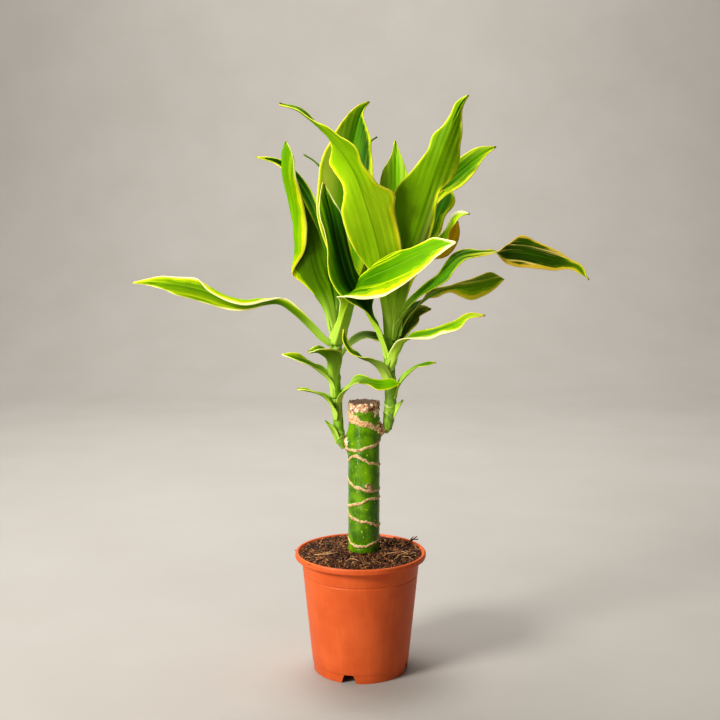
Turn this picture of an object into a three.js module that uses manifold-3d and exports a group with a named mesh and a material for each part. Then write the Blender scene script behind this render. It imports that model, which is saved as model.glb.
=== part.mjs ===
// A corn plant in a nursery pot: a cut cane with two leafy shoots, in soil. Millimetres, +Z up.
// The pot's axis is the Z axis, its foot stands on z = 0, and the side seen in the photo faces -Y.
import * as THREE from "three";
import { mergeVertices } from "three/addons/utils/BufferGeometryUtils.js";
import Module from "manifold-3d";

const wasm = await Module();
wasm.setup();

// Driving dimensions
const POT_HEIGHT = 110,
  RIM_RADIUS = 60, // a 12 cm pot
  RIM_DROP = 5,
  BODY_TOP_RADIUS = 54.2,
  FOOT_RADIUS = 43.8,
  WALL = 1.3,
  FLOOR_HEIGHT = 8.5,
  POT_SIDES = 40, // facets round the pot and the soil
  NOTCHES = 4,
  NOTCH_AZIMUTH = -14, // degrees from the front, negative to the left
  DRAIN_HOLES = 6;
const SOIL_RIM_HEIGHT = 107.6,
  SOIL_HEAP = 4;
const CANE_RADIUS = 15.2,
  CANE_X = 3,
  CANE_TOP = 249,
  CANE_FOOT = 40;
const BLADE = 1.0, // leaf thickness
  CREASE = 0.22, // share of a half over which a folded leaf turns
  GAP = 0.3; // clearance between neighbouring pieces

// Small helpers
const rad = (deg) => (deg * Math.PI) / 180;
const clamp = (v, lo, hi) => Math.min(hi, Math.max(lo, v));
const bump = (d, width) => Math.exp(-((d / width) ** 2));
const vec = (p) => new THREE.Vector3(...p);

// A repeatable random sequence in 0..1
function randoms(seed) {
  let s = seed >>> 0;
  return () => {
    s = (s * 1664525 + 1013904223) >>> 0;
    return s / 4294967296;
  };
}

// A smooth curve through equally spaced keys, which are numbers or [x, y, z]
function keyed(keys, u) {
  if (typeof keys === "number") return keys;
  const n = keys.length - 1;
  if (n === 0) return keys[0];
  const t = clamp(u, 0, 1) * n,
    i = Math.min(Math.floor(t), n - 1),
    f = t - i;
  const mix = (at) => {
    const p1 = at(i),
      p2 = at(i + 1),
      p0 = i > 0 ? at(i - 1) : 2 * p1 - p2,
      p3 = i < n - 1 ? at(i + 2) : 2 * p2 - p1;
    const a = p2 - p0,
      b = 2 * p0 - 5 * p1 + 4 * p2 - p3,
      c = 3 * p1 - p0 - 3 * p2 + p3;
    return 0.5 * (2 * p1 + a * f + b * f * f + c * f * f * f);
  };
  return typeof keys[0] === "number"
    ? mix((k) => keys[k])
    : [0, 1, 2].map((axis) => mix((k) => keys[k][axis]));
}

// A value read between [where, value] keys round the cane, where in degrees from -180 to 180
function around(keys, deg) {
  const ring = [...keys, [keys[0][0] + 360, keys[0][1]]];
  const d = deg < ring[0][0] ? deg + 360 : deg;
  const k = Math.max(1, ring.findIndex((key) => key[0] >= d));
  const [d0, v0] = ring[k - 1],
    [d1, v1] = ring[k];
  const f = (d - d0) / (d1 - d0);
  return v0 + (v1 - v0) * f * f * (3 - 2 * f);
}

// Geometry from points and faces
function geometry(points, faces) {
  return new THREE.BufferGeometry()
    .setAttribute("position", new THREE.Float32BufferAttribute(points.flatMap((p) => [p.x, p.y, p.z]), 3))
    .setIndex(faces.flat());
}

// A closed body from a stack of loops, each of the same count; its two ends are single points
function skin(loops) {
  const count = loops[1].length;
  const first = [];
  let total = 0;
  for (const loop of loops) {
    first.push(total);
    total += loop.length;
  }
  const faces = [];
  for (let i = 0; i + 1 < loops.length; i++)
    for (let j = 0; j < count; j++) {
      const k = (j + 1) % count;
      const at = (row, col) => first[row] + (loops[row].length === 1 ? 0 : col);
      if (loops[i].length > 1) faces.push([at(i, j), at(i, k), at(i + 1, j)]);
      if (loops[i + 1].length > 1) faces.push([at(i, k), at(i + 1, k), at(i + 1, j)]);
    }
  return geometry(loops.flat(), faces);
}

const circle = (radius, z, count, x = 0, y = 0) =>
  radius === 0
    ? [vec([x, y, z])]
    : Array.from({ length: count }, (_, j) => {
        const a = (2 * Math.PI * j) / count;
        return vec([x + radius * Math.cos(a), y + radius * Math.sin(a), z]);
      });

// A body of revolution from [radius, height] pairs that start and end on the axis
const turned = (profile, count, x = 0, y = 0) => skin(profile.map(([r, z]) => circle(r, z, count, x, y)));

// Solids for joining and cutting
function solid(g) {
  const plain = new THREE.BufferGeometry()
    .setAttribute("position", g.getAttribute("position"))
    .setIndex(g.index);
  const merged = mergeVertices(plain, 1e-4);
  return new wasm.Manifold(
    new wasm.Mesh({
      numProp: 3,
      vertProperties: new Float32Array(merged.attributes.position.array),
      triVerts: new Uint32Array(merged.index.array),
    }),
  );
}

function fromSolid(s) {
  const mesh = s.getMesh();
  return new THREE.BufferGeometry()
    .setAttribute("position", new THREE.Float32BufferAttribute(mesh.vertProperties, 3))
    .setIndex(Array.from(mesh.triVerts));
}

const largest = (s) => s.decompose().reduce((a, b) => (b.volume() > a.volume() ? b : a));
const near = (a, b) => {
  const p = a.boundingBox(),
    q = b.boundingBox();
  return [0, 1, 2].every((k) => p.min[k] <= q.max[k] && q.min[k] <= p.max[k]);
};

// The plant
const group = new THREE.Group();
function add(name, g, colour, roughness = 0.5) {
  g.computeVertexNormals();
  const material = new THREE.MeshStandardMaterial({ color: colour, roughness, side: THREE.DoubleSide });
  const mesh = new THREE.Mesh(g, material);
  mesh.name = name;
  group.add(mesh);
}

// Pot: a thin tapered wall with a turned-over lip, a raised floor with drain holes and a notched foot
function potSolid() {
  const slope = (BODY_TOP_RADIUS - FOOT_RADIUS) / (POT_HEIGHT - RIM_DROP);
  const wallAt = (z) => FOOT_RADIUS + slope * z;
  const inner = (z) => wallAt(z) - WALL;
  const outside = [
    [0, FLOOR_HEIGHT],
    [inner(FLOOR_HEIGHT) - 1, FLOOR_HEIGHT],
    [inner(0) - 1, 0],
    [wallAt(0) - 0.5, 0],
    [wallAt(7.6) - 0.5, 7.6],
    [wallAt(8.2), 8.2],
    [wallAt(89.5), 89.5],
    [wallAt(90) - 0.35, 90],
    [wallAt(91) - 0.35, 91],
    [wallAt(91.5), 91.5],
    [wallAt(105), POT_HEIGHT - RIM_DROP],
    [RIM_RADIUS - 0.5, POT_HEIGHT - RIM_DROP],
    [RIM_RADIUS, POT_HEIGHT - RIM_DROP + 0.6],
    [RIM_RADIUS, POT_HEIGHT - 0.9],
    [RIM_RADIUS - 0.4, POT_HEIGHT - 0.2],
    [RIM_RADIUS - 1.2, POT_HEIGHT],
    [RIM_RADIUS - 2.6, POT_HEIGHT],
    [RIM_RADIUS - 3.2, POT_HEIGHT - 0.5],
    [RIM_RADIUS - 3.8, POT_HEIGHT - 2.2],
    [inner(105) + 0.5, POT_HEIGHT - RIM_DROP + 0.9],
    [inner(102), 102],
    [inner(FLOOR_HEIGHT + 1.5), FLOOR_HEIGHT + 1.5],
    [0, FLOOR_HEIGHT + 1.5],
  ];
  let pot = solid(turned(outside, POT_SIDES));
  const notch = new THREE.CylinderGeometry(4.5 * Math.SQRT2, 7.2 * Math.SQRT2, 8.6, 4, 1)
    .rotateY(Math.PI / 4)
    .rotateX(Math.PI / 2)
    .translate(0, 0, 3.7);
  for (let i = 0; i < NOTCHES; i++) {
    const angle = rad(-90 + NOTCH_AZIMUTH + (360 / NOTCHES) * i);
    const cutter = notch.clone().rotateZ(angle).translate(43 * Math.cos(angle), 43 * Math.sin(angle), 0);
    pot = pot.subtract(solid(cutter));
  }
  for (let i = 0; i <= DRAIN_HOLES; i++) {
    const angle = rad((360 / DRAIN_HOLES) * i + 15),
      reach = i === DRAIN_HOLES ? 0 : 27;
    const [low, high] = [FLOOR_HEIGHT - 3, FLOOR_HEIGHT + 4];
    const hole = [[0, low], [4.5, low], [4.5, high], [0, high]];
    pot = pot.subtract(solid(turned(hole, 12, reach * Math.cos(angle), reach * Math.sin(angle))));
  }
  return pot;
}

// Soil: fills the pot to just under the rim, heaped round the cane, with crumbs and clods on top
function soilSolid() {
  const slope = (BODY_TOP_RADIUS - FOOT_RADIUS) / (POT_HEIGHT - RIM_DROP);
  const inside = (z) => FOOT_RADIUS + slope * z - WALL - GAP;
  const random = randoms(7);
  const count = POT_SIDES,
    rings = [0, 14, 18, 22, 26, 30, 34, 38, 42, 46, 50, 53, 55.6];
  const clods = Array.from({ length: 34 }, () => {
    const a = 2 * Math.PI * random(),
      r = 18 + 32 * Math.sqrt(random());
    return { x: r * Math.cos(a), y: r * Math.sin(a), high: 0.8 + 2.2 * random(), wide: 3 + 4 * random() };
  });
  const top = (x, y) => {
    const r = Math.hypot(x, y);
    let z = SOIL_RIM_HEIGHT + SOIL_HEAP * bump(Math.hypot(x - CANE_X, y + 4), 30);
    for (const c of clods) z += c.high * bump(Math.hypot(x - c.x, y - c.y), c.wide);
    z -= 4 * bump(Math.hypot(x - 25, y - 12), 8); // a hollow behind the cane, to its right
    z += 2.5 * bump(Math.hypot(x - 44, y + 14), 7); // a heap against the right of the rim
    if (r > 51) return clamp(z, 108.1, 108.8) + 0.2 * random();
    return Math.min(z, 115) + 0.9 * (random() - 0.5);
  };
  const loops = [circle(0, SOIL_RIM_HEIGHT + SOIL_HEAP, 1)];
  for (const r of rings.slice(1))
    loops.push(
      circle(r, 0, count).map((p) => {
        const wobble = r < 52 ? 1 + 0.04 * (random() - 0.5) : 1;
        return vec([p.x * wobble, p.y * wobble, top(p.x, p.y)]);
      }),
    );
  loops.push(circle(inside(105) + 0.3, POT_HEIGHT - RIM_DROP + 0.9, count));
  loops.push(circle(inside(102), 102, count));
  loops.push(circle(inside(FLOOR_HEIGHT + 1.5 + GAP), FLOOR_HEIGHT + 1.5 + GAP, count));
  loops.push(circle(0, FLOOR_HEIGHT + 1.5 + GAP, 1));
  const [wide, low] = [CANE_RADIUS + GAP, CANE_FOOT - GAP];
  const hole = [[0, low], [wide, low], [wide, 140], [0, 140]];
  return solid(skin(loops.reverse())).subtract(solid(turned(hole, 32, CANE_X, 0)));
}

// Cane: scar rings that slope and wave round it, keyed by degrees from the front and height,
// with knobs of callus where the shoots come out, a bud, and crusted bark under the sawn top
const CANE_RINGS = [
  [[-90, 122.6], [-32, 117.5], [4, 117.6], [39, 120.1], [83, 123.7], [180, 126]],
  [[-90, 148], [-48, 143.2], [-3, 140.8], [74, 135], [180, 141]],
  [[-90, 152.7], [-17, 157], [23, 161.7], [81, 161.1], [180, 157]],
  [[-90, 178.4], [-22, 171.9], [18, 168.8], [80, 168.2], [180, 174]],
  [[-90, 194.6], [-30, 201.1], [0, 197.8], [25, 194.3], [90, 190.9], [180, 195]],
  [[-90, 205.8], [-26, 205.7], [25, 209.4], [90, 213.6], [180, 209]],
  [[-90, 238.5], [-52, 235.9], [10, 229.6], [90, 221.5], [180, 229]],
];
const KNOBS = [
  { deg: -84, z: 212, out: 5.2, wide: 6, high: 8 }, // under the left shoot
  { deg: 84, z: 223, out: 5.6, wide: 6, high: 6.5 }, // under the right shoot
  { deg: 15, z: 172, out: 1.3, wide: 2.6, high: 2.4 }, // a sleeping bud
];

function caneSolid(grow = 0) {
  const count = 26,
    random = randoms(21);
  const rows = [CANE_FOOT, 103, 113].map((z) => ({ at: () => z, swell: 0 }));
  CANE_RINGS.forEach((ring, i) => {
    const half = i === CANE_RINGS.length - 1 ? 3.2 : 1.3; // the top ring is a broad band of bark
    for (const [side, swell] of [[-1, 0.05], [-0.45, 0.8], [0.45, 0.8], [1, 0.05]])
      rows.push({ at: (d) => around(ring, d) + side * half, swell });
    const next = CANE_RINGS[i + 1];
    if (next)
      for (const f of i === 5 || i === 2 ? [0.35, 0.68] : [0.5])
        rows.push({ at: (d) => around(ring, d) * (1 - f) + around(next, d) * f, swell: 0 });
  });
  for (const [z, swell] of [[243.5, 0.5], [246.5, 0.8], [CANE_TOP, 0.3]])
    rows.push({ at: () => z, swell, rough: 0.7 });
  const loops = [circle(0, CANE_FOOT, 1, CANE_X)];
  for (const { at, swell, rough = 0.12 } of rows)
    loops.push(
      Array.from({ length: count }, (_, j) => {
        const deg = -180 + (360 * (j + 0.5)) / count;
        const a = rad(deg - 90);
        const z = at(deg) + (rough > 0.5 ? 0.5 * (random() - 0.5) : 0);
        const slim = 0.9 * clamp((z - 190) / 55, 0, 1);
        let r = CANE_RADIUS - 0.8 - slim + swell + rough * (random() - 0.5) + grow;
        if (z < 116) r = Math.min(r, CANE_RADIUS - 0.3 + grow);
        for (const k of KNOBS)
          r += k.out * bump(rad(deg - k.deg) * 15, k.wide) * bump(z - k.z, k.high);
        return vec([CANE_X + r * Math.cos(a), r * Math.sin(a), z]);
      }),
    );
  loops.push(Array.from({ length: count }, (_, j) => {
    const a = rad(-270 + (360 * (j + 0.5)) / count);
    return vec([CANE_X + 8 * Math.cos(a), 8 * Math.sin(a), CANE_TOP - 0.6 - random()]);
  }));
  loops.push(circle(0, CANE_TOP - 1.4, 1, CANE_X));
  return solid(skin(loops));
}

// Shoots: slender stems with a faint ring at each old leaf base
function shootGeometry({ path, radius, joints }) {
  const count = 12,
    rows = 24;
  const loops = [[vec(keyed(path, 0))]];
  for (let i = 0; i <= rows; i++) {
    const u = i / rows;
    const p = vec(keyed(path, u)),
      t = vec(keyed(path, u + 0.01)).sub(vec(keyed(path, u - 0.01))).normalize();
    const across = new THREE.Vector3(0, 1, 0).cross(t).normalize(),
      forth = t.clone().cross(across);
    let r = keyed(radius, u);
    for (const at of joints) r += 0.45 * bump(u - at, 0.018);
    loops.push(
      Array.from({ length: count }, (_, j) => {
        const a = (2 * Math.PI * j) / count;
        return p.clone().addScaledVector(across, r * Math.cos(a)).addScaledVector(forth, r * Math.sin(a));
      }),
    );
  }
  loops.push([vec(keyed(path, 1))]);
  return skin(loops);
}

const SHOOTS = {
  left_shoot: {
    path: [
      [-15, -2, 206], [-19, -1, 219], [-22, 0, 252], [-23, 0, 284], [-20, 0, 314], [-16, 0, 338], [-14, 2, 356],
    ],
    radius: [2.8, 4.7, 4.7, 4.9, 5.4, 4.2, 1.6],
    joints: [0.12, 0.2, 0.3, 0.44, 0.55],
  },
  right_shoot: {
    path: [
      [22, 0, 220], [25, 0, 229], [27, 0, 252], [26, 0, 285], [26, 0, 312], [28, 1, 336], [29, 2, 356],
    ],
    radius: [2.6, 4.9, 5.3, 5.2, 5.2, 4.2, 1.6],
    joints: [0.1, 0.22, 0.31, 0.43, 0.58],
  },
};

// Leaves. Each is a blade swept along its midrib.
//   path    midrib from the stem to the tip
//   width   widest breadth when flat
//   shape   half-breadth as a share of width / 2, from base to tip; left and right may differ
//   face    where the upper face looks, from base to tip
//   fold    degrees each half rises from the midrib; curl is how much further it bends to its margin
//   wave    height, count and start of the ripples along the margins
const BIG = [0.4, 0.3, 0.42, 0.8, 1, 0.96, 0.66, 0.3, 0.03],
  MIDDLE = [0.45, 0.34, 0.55, 0.92, 1, 0.85, 0.45, 0.03],
  SMALL = [0.7, 0.6, 0.85, 1, 0.7, 0.05];
const LEAVES = {
  left_far_leaf: {
    path: [
      [-25.7, -4, 298.7], [-35.4, -6.5, 306.1], [-45.9, -10, 318.1], [-56.3, -14, 329],
      [-70.2, -17, 338.9], [-85.8, -19, 339.9], [-102.5, -20, 338.2], [-119.1, -20, 341.8],
      [-135.8, -19, 348.7], [-152.9, -16, 353], [-170.3, -12, 355.5], [-187.2, -7, 356.1],
      [-203.2, -3, 356.4],
    ],
    width: 24.6,
    left: [0.39, 0.41, 0.43, 0.46, 0.5, 0.5, 0.75, 0.81, 0.81, 0.84, 0.82, 0.64, 0.57, 0.32, 0.04],
    right: [0.39, 0.39, 0.41, 0.44, 0.51, 0.5, 0.62, 0.71, 0.83, 1, 0.98, 0.83, 0.43, 0.17, 0.04],
    face: [[0.4, 0.8, 0.6], [0.2, 0.8, 0.8], [0, 0.9, 0.6], [0, 1, 0.35], [0, 1, 0.2]],
    fold: [30, 20, 10, 4, 4], curlLeft: -165, curlRight: 0, wave: [1.2, 2.5, 0.1], cells: 3,
    creaseLeft: [1, 1, 1, 1, 0.95, 0.6, 0.42, 0.4, 0.4, 0.5, 1, 1, 1, 1, 1],
  },
  left_low_leaf: {
    path: [
      [-26.7, -5, 259.8], [-29.2, -8, 269.3], [-38, -12, 277.9], [-48.4, -18, 285.8],
      [-58.7, -22, 290.7], [-69.1, -24, 294.5],
    ],
    width: 16.8,
    left: [0.71, 0.62, 0.65, 0.83, 0.97, 1, 0.82, 0.49, 0.07],
    right: [0.9, 0.79, 0.83, 0.76, 0.44, 0.48, 0.77, 0.51, 0.07],
    face: [[1, 0.3, 0], [0.4, -0.5, 1], [0.1, -0.8, 0.8]],
    fold: [40, 35, 25], wave: [0.7, 1.5, 0.2], steps: 11,
  },
  left_lower_leaf: {
    path: [
      [-24.1, -4, 232.3], [-25.8, -6, 242.7], [-30.2, -8, 251.2], [-37.3, -11, 257.1],
      [-47, -13, 260.5], [-56.7, -14, 262],
    ],
    width: 15.2,
    left: [0.46, 0.74, 0.45, 0.58, 0.66, 0.58, 0.36, 0.03],
    right: [0.6, 0.52, 1, 0.77, 0.4, 0.2, 0.43, 0.08],
    face: [[1, 0.3, 0], [0.3, -0.2, 1], [0.1, -0.2, 1]],
    fold: [40, 30, 20], wave: [0.3, 1.5, 0.2], steps: 11,
  },
  left_scale_leaf: {
    path: [[-22, -4, 216], [-26, -7, 225], [-32, -9, 233]],
    width: 8, shape: [1, 0.85, 0.6, 0.08],
    face: [[-0.6, -0.7, 0.3], [-0.3, -0.8, 0.5]],
    fold: [20, 15, 15], wave: [0, 1, 0], steps: 8,
  },
  left_curled_leaf: {
    path: [[-24, -7, 253], [-25, -10, 270], [-28, -15, 286], [-36, -24, 295], [-46, -28, 297]],
    width: 30, shape: [0.5, 0.54, 0.8, 1, 0.75, 0.1],
    face: [[0, 1, 0], [0.1, 1, 0.2], [0.4, 0.4, 0.8], [0.4, -0.3, 1]],
    fold: [35, 35, 35, 20], curl: [60, 50, 30, 0], wave: [1, 1.5, 0.2],
  },
  left_inner_leaf: {
    path: [
      [-17.7, -5, 248.9], [-15.8, -7, 256.5], [-10.4, -10, 263.3], [-5, -13, 269.5],
      [1.2, -15, 271.6], [9.2, -17, 268.3], [19, -18, 267.1], [27, -19, 268.1], [35, -19, 267.2],
    ],
    width: 17.1,
    left: [0.68, 0.95, 0.59, 0.37, 0.58, 0.41, 0.49, 0.53, 0.56, 0.51, 0.06],
    right: [0.68, 0.74, 0.73, 0.95, 1, 0.96, 0.48, 0.83, 0.78, 0.63, 0.06],
    face: [[-1, 0.3, 0.3], [-0.4, -0.4, 1], [0, -0.8, 0.7], [0, -0.8, 0.7]],
    fold: [30, 10, 5], wave: [0.7, 1.5, 0], steps: 11,
  },
  left_back_inner_leaf: {
    path: [[-19, 3, 287], [-11, 9, 298], [2, 16, 306], [16, 20, 305], [29, 22, 301]],
    width: 14, shape: [0.5, 0.5, 0.9, 1, 0.8, 0.05],
    face: [[-1, -0.3, 0.3], [-0.4, -0.6, 1], [0, -0.8, 0.7]],
    fold: [20, 15, 10], wave: [0.5, 1.5, 0], steps: 11,
  },
  left_folded_leaf: {
    path: [
      [-24.7, -5, 305.1], [-26.4, -8, 318.8], [-28.9, -12, 334.2], [-34.1, -14, 348.5],
      [-39.3, -16, 359.1], [-43.5, -17.5, 372.3], [-46.9, -19, 389.8], [-50.2, -20.5, 407.1],
      [-55.2, -22, 426], [-60.1, -24, 445.6], [-63.3, -25.5, 462.5], [-64, -26, 478.6],
    ],
    width: 47.4,
    left: [
      0.19, 0.2, 0.23, 0.25, 0.28, 0.33, 0.41, 0.5, 0.57, 0.6, 0.6, 0.58, 0.53, 0.46, 0.39, 0.32,
      0.27, 0.24, 0.22, 0.2, 0.17, 0.12, 0.03,
    ],
    right: [
      0.19, 0.2, 0.22, 0.23, 0.27, 0.34, 0.4, 0.56, 0.82, 0.97, 0.99, 1, 0.99, 0.97, 0.95, 0.91,
      0.88, 0.85, 0.82, 0.8, 0.75, 0.56, 0.03,
    ],
    face: [[0.5, 0.8, 0], [0.3, 1, 0], [0, 1, 0], [-0.1, 1, 0], [0, 1, 0]],
    fold: [25, 15, 6, 0, 0], curlLeft: [40, 20, 20, 20, 10], curlRight: -172, wave: [1.2, 2.5, 0],
    cells: 4, steps: 18,
    creaseRight: [
      1, 1, 1, 1, 1, 1, 1, 1, 0.9, 0.65, 0.47, 0.38, 0.34, 0.3, 0.28, 0.26, 0.25, 0.25, 0.26, 0.24,
      0.2, 0.2, 0.2,
    ],
  },
  left_thin_leaf: {
    path: [
      [-21.4, 5, 308.7], [-23.3, 14, 335.3], [-27.1, 23, 362.2], [-31.9, 31, 386.8],
      [-38.5, 39, 409.7], [-46.1, 45, 429.2], [-54.6, 49, 444.1], [-64, 52, 455.3],
      [-72.5, 54, 462.8], [-82.7, 54, 467.4], [-97.6, 54, 471.1],
    ],
    width: 16.2,
    left: [1, 0.96, 0.84, 0.8, 0.75, 0.69, 0.82, 0.96, 0.99, 0.76, 0.64, 0.17, 0.05],
    right: [0.45, 0.51, 0.62, 0.62, 0.61, 0.53, 0.44, 0.48, 0.59, 0.68, 0.66, 0.45, 0.07],
    face: [[0.4, -0.9, 0], [0.4, -0.9, 0], [0.3, -0.9, 0.2], [0.3, -0.9, 0.2]],
    fold: [25, 15, 15, 20], wave: [1.5, 3, 0], steps: 11,
  },
  left_back_leaf: {
    path: [
      [-17.7, 3, 306.1], [-15, 8, 323.9], [-12.8, 13, 341.7], [-13.3, 19, 359.6],
      [-14.3, 27, 380.4], [-15.3, 35, 403.3], [-14.5, 43, 426.4], [-11.7, 49, 447.7],
      [-9, 54, 468.3], [-6.2, 58, 485.2], [-3.4, 61, 498.4], [-0.6, 63, 508.7], [3.2, 64, 517.1],
      [7.9, 64, 523.1],
    ],
    width: 61.8,
    left: [
      0.15, 0.16, 0.19, 0.22, 0.28, 0.32, 0.45, 0.59, 0.73, 0.86, 0.92, 0.95, 0.98, 1, 0.94, 0.79,
      0.65, 0.48, 0.28, 0.03,
    ],
    right: [
      0.17, 0.12, 0.14, 0.17, 0.33, 0.49, 0.63, 0.78, 0.87, 0.93, 0.95, 0.95, 0.89, 0.78, 0.72,
      0.63, 0.54, 0.3, 0.06, 0.03,
    ],
    face: [[0.1, -1, 0], [0.1, -1, 0.1], [0, -1, 0.3]],
    fold: [25, 18, 14, 22, 30], curl: [20, 10, 10, 0], wave: [1.5, 2.5, 0.3],
  },
  left_needle_leaf: {
    path: [
      [-18, 8, 310], [-16, 23, 348], [-18, 41, 389], [-23, 55, 424], [-32, 64, 452],
      [-42, 69, 467], [-54, 71, 475],
    ],
    width: 28, shape: [0.35, 0.32, 0.5, 0.9, 1, 0.6, 0.2, 0.07, 0.03],
    face: [[0.2, -1, 0], [0.2, -1, 0], [0.1, -1, 0.4]],
    fold: 15, wave: [0, 3, 0],
  },
  left_rear_leaf: {
    path: [
      [-16, 8, 306], [-13, 14, 323], [-8, 26, 341], [-1, 45, 374], [1, 63, 408], [2, 75, 437],
      [5, 83, 466], [9, 87, 487], [16, 88, 493],
    ],
    width: 33, shape: [0.2, 0.22, 0.3, 0.5, 0.9, 1, 0.75, 0.3, 0.1, 0.03],
    face: [[0, -1, 0], [0, -1, 0], [0, -1, 0.4]],
    fold: 15, wave: [0.3, 3, 0.4],
  },
  left_front_leaf: {
    path: [
      [-22.9, -6, 300.7], [-20.2, -8, 309.8], [-16.5, -10, 321.6], [-12.9, -13, 333.4],
      [-8.4, -18, 343.4], [-4, -23, 351.6], [2.1, -29, 358.3], [10.7, -38, 363.4],
      [26.5, -52, 370.6], [45.2, -66, 380.1], [62.7, -77, 386.8], [77.4, -86, 392.6],
    ],
    width: 46.8,
    left: [
      0.51, 0.54, 0.61, 0.69, 0.79, 0.71, 0.58, 0.54, 0.5, 0.57, 0.58, 0.5, 0.42, 0.45, 0.49, 0.28,
      0.03,
    ],
    right: [
      0.33, 0.3, 0.22, 0.24, 0.41, 0.92, 1, 0.98, 0.94, 0.98, 0.93, 0.82, 0.69, 0.56, 0.29, 0.15,
      0.03,
    ],
    face: [
      [-0.2, 1, 0.2], [-0.4, 0.9, 0.3], [-0.6, 0.5, 0.5], [-0.5, -0.4, 0.8], [-0.2, -0.85, 0.5],
      [-0.1, -0.9, 0.5], [0, -0.9, 0.4], [0.1, -0.9, 0.4], [0.1, -0.9, 0.4],
    ],
    fold: [35, 30, 20, 5, 0, 0, 0, 0, 0], curl: [30, 20, 0, 0, 0, 0, 0, 0], wave: [1, 2.5, 0.1],
    cells: 3,
  },
  right_dark_leaf: {
    path: [
      [22.7, -8, 288.3], [20, -9.5, 298.3], [16.4, -11, 307.4], [12.8, -12.5, 315.6],
      [8.3, -13.5, 323.7], [4.3, -14.5, 331.7], [-0.5, -15, 340.2], [-5.8, -15.5, 349.4],
      [-11.1, -16, 358.3], [-15.4, -18, 373.2], [-19.7, -20, 388.9], [-23.1, -23, 404.5],
      [-26.5, -25, 419.9], [-29.9, -26, 432.7], [-32.4, -26, 443.8],
    ],
    width: 40.1,
    left: [
      0.19, 0.2, 0.26, 0.44, 0.48, 0.61, 0.92, 0.97, 0.97, 1, 0.9, 0.71, 0.6, 0.57, 0.62, 0.53,
      0.3, 0.03,
    ],
    right: [
      0.42, 0.38, 0.42, 0.55, 0.4, 0.49, 0.89, 0.68, 0.61, 0.53, 0.52, 0.53, 0.52, 0.49, 0.47,
      0.32, 0.19, 0.03,
    ],
    face: [[0.6, 0.6, 0.3], [0.6, -0.2, 0.4], [0.4, -0.9, 0.2], [0.3, -0.9, 0.2], [0.2, -0.9, 0.2]],
    fold: [30, 25, 20, 20], wave: [1, 2.5, 0],
  },
  right_great_leaf: {
    path: [
      [25.4, -7, 307.1], [25.2, -13, 332.5], [22.3, -20, 354.9], [17.7, -28, 376.9],
      [13.2, -36, 395.9], [8, -44, 413.5], [2, -51, 431.7], [-3.8, -56, 447.2],
      [-11.3, -60, 460.9], [-20.3, -62, 472.9], [-31.8, -62, 483.5], [-43.4, -60, 494.2],
      [-53.4, -57, 501.8], [-67.7, -54, 506.2],
    ],
    width: 51.9,
    left: [
      0.24, 0.26, 0.3, 0.37, 0.48, 0.6, 0.71, 0.77, 0.8, 0.81, 0.86, 1, 0.61, 0.46, 0.42, 0.59,
      0.37, 0.29, 0.15, 0.12, 0.07, 0.03,
    ],
    right: [
      0.22, 0.24, 0.26, 0.29, 0.32, 0.39, 0.52, 0.7, 0.82, 0.88, 0.88, 0.83, 0.61, 0.56, 0.75,
      0.97, 0.53, 0.38, 0.17, 0.17, 0.15, 0.03,
    ],
    face: [
      [0, 1, 0], [0, 1, 0], [0, 1, 0], [0, 1, 0], [0.1, 1, 0], [0.5, 0.6, 0.7], [0.6, 0, 1],
      [0, -0.5, 1],
    ],
    fold: [30, 15, 8, 10, 20, 20], curl: [20, 10, 10, 0], wave: [1.6, 3, 0.2], cells: 3, steps: 16,
  },
  right_rear_leaf: {
    path: [
      [25.7, 6, 307.7], [27.8, 17, 339.7], [29.8, 29, 371.2], [31.9, 40, 398.7], [33.1, 49, 421.9],
      [33.2, 56, 440.7], [33.3, 61, 457.7], [33, 66, 473.8], [32.5, 69, 488],
    ],
    width: 32.1,
    left: [0.24, 0.26, 0.27, 0.3, 0.38, 0.47, 0.6, 0.72, 0.89, 1, 0.83, 0.3, 0.03],
    right: [0.24, 0.27, 0.3, 0.35, 0.44, 0.52, 0.61, 0.73, 0.86, 0.9, 0.67, 0.34, 0.04],
    face: [[0, -1, 0], [0, -1, 0], [0, -1, 0.3]],
    fold: [20, 15, 20], wave: [1.5, 3, 0.1],
  },
  right_tall_leaf: {
    path: [
      [27.2, -7, 305.3], [30.5, -12, 332.4], [35.5, -17, 357.4], [41.3, -22, 381.1],
      [47.9, -27, 402.7], [54.5, -31, 423.2], [60.2, -34, 441.7], [65.8, -37, 458.4],
      [70.7, -38, 472.5], [75.7, -38, 485.8], [79.8, -38, 496.6], [84, -37, 505.9],
      [91, -34, 516.2],
    ],
    width: 56.4,
    left: [
      0.22, 0.22, 0.24, 0.29, 0.33, 0.35, 0.38, 0.43, 0.47, 0.5, 0.48, 0.44, 0.36, 0.33, 0.52,
      0.61, 0.6, 0.49, 0.4, 0.24, 0.09, 0.03,
    ],
    right: [
      0.19, 0.19, 0.17, 0.19, 0.22, 0.27, 0.34, 0.44, 0.57, 0.72, 0.86, 0.97, 1, 0.86, 0.68, 0.55,
      0.44, 0.46, 0.27, 0.18, 0.19, 0.03,
    ],
    face: [[0, 1, 0], [0, 1, 0], [0, 1, 0], [-0.1, 1, 0.1]],
    fold: [30, 15, 8, 8, 15, 30], curl: [20, 10, 10, 0], wave: [1.6, 3, 0.4], cells: 3, steps: 16,
  },
  right_side_leaf: {
    path: [
      [31.9, 2, 306.2], [35.8, 12, 335.4], [41.4, 18, 365.1], [48.7, 23, 394.1], [59.8, 28, 421.4],
      [72.7, 31, 438.7], [86.6, 34, 451.5], [100.5, 37, 463.5], [112.4, 38, 472.6],
      [124.3, 38, 479.4],
    ],
    width: 27,
    left: [0.2, 0.23, 0.27, 0.33, 0.41, 0.46, 0.54, 0.65, 0.76, 0.93, 1, 0.83, 0.64, 0.04],
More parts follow.
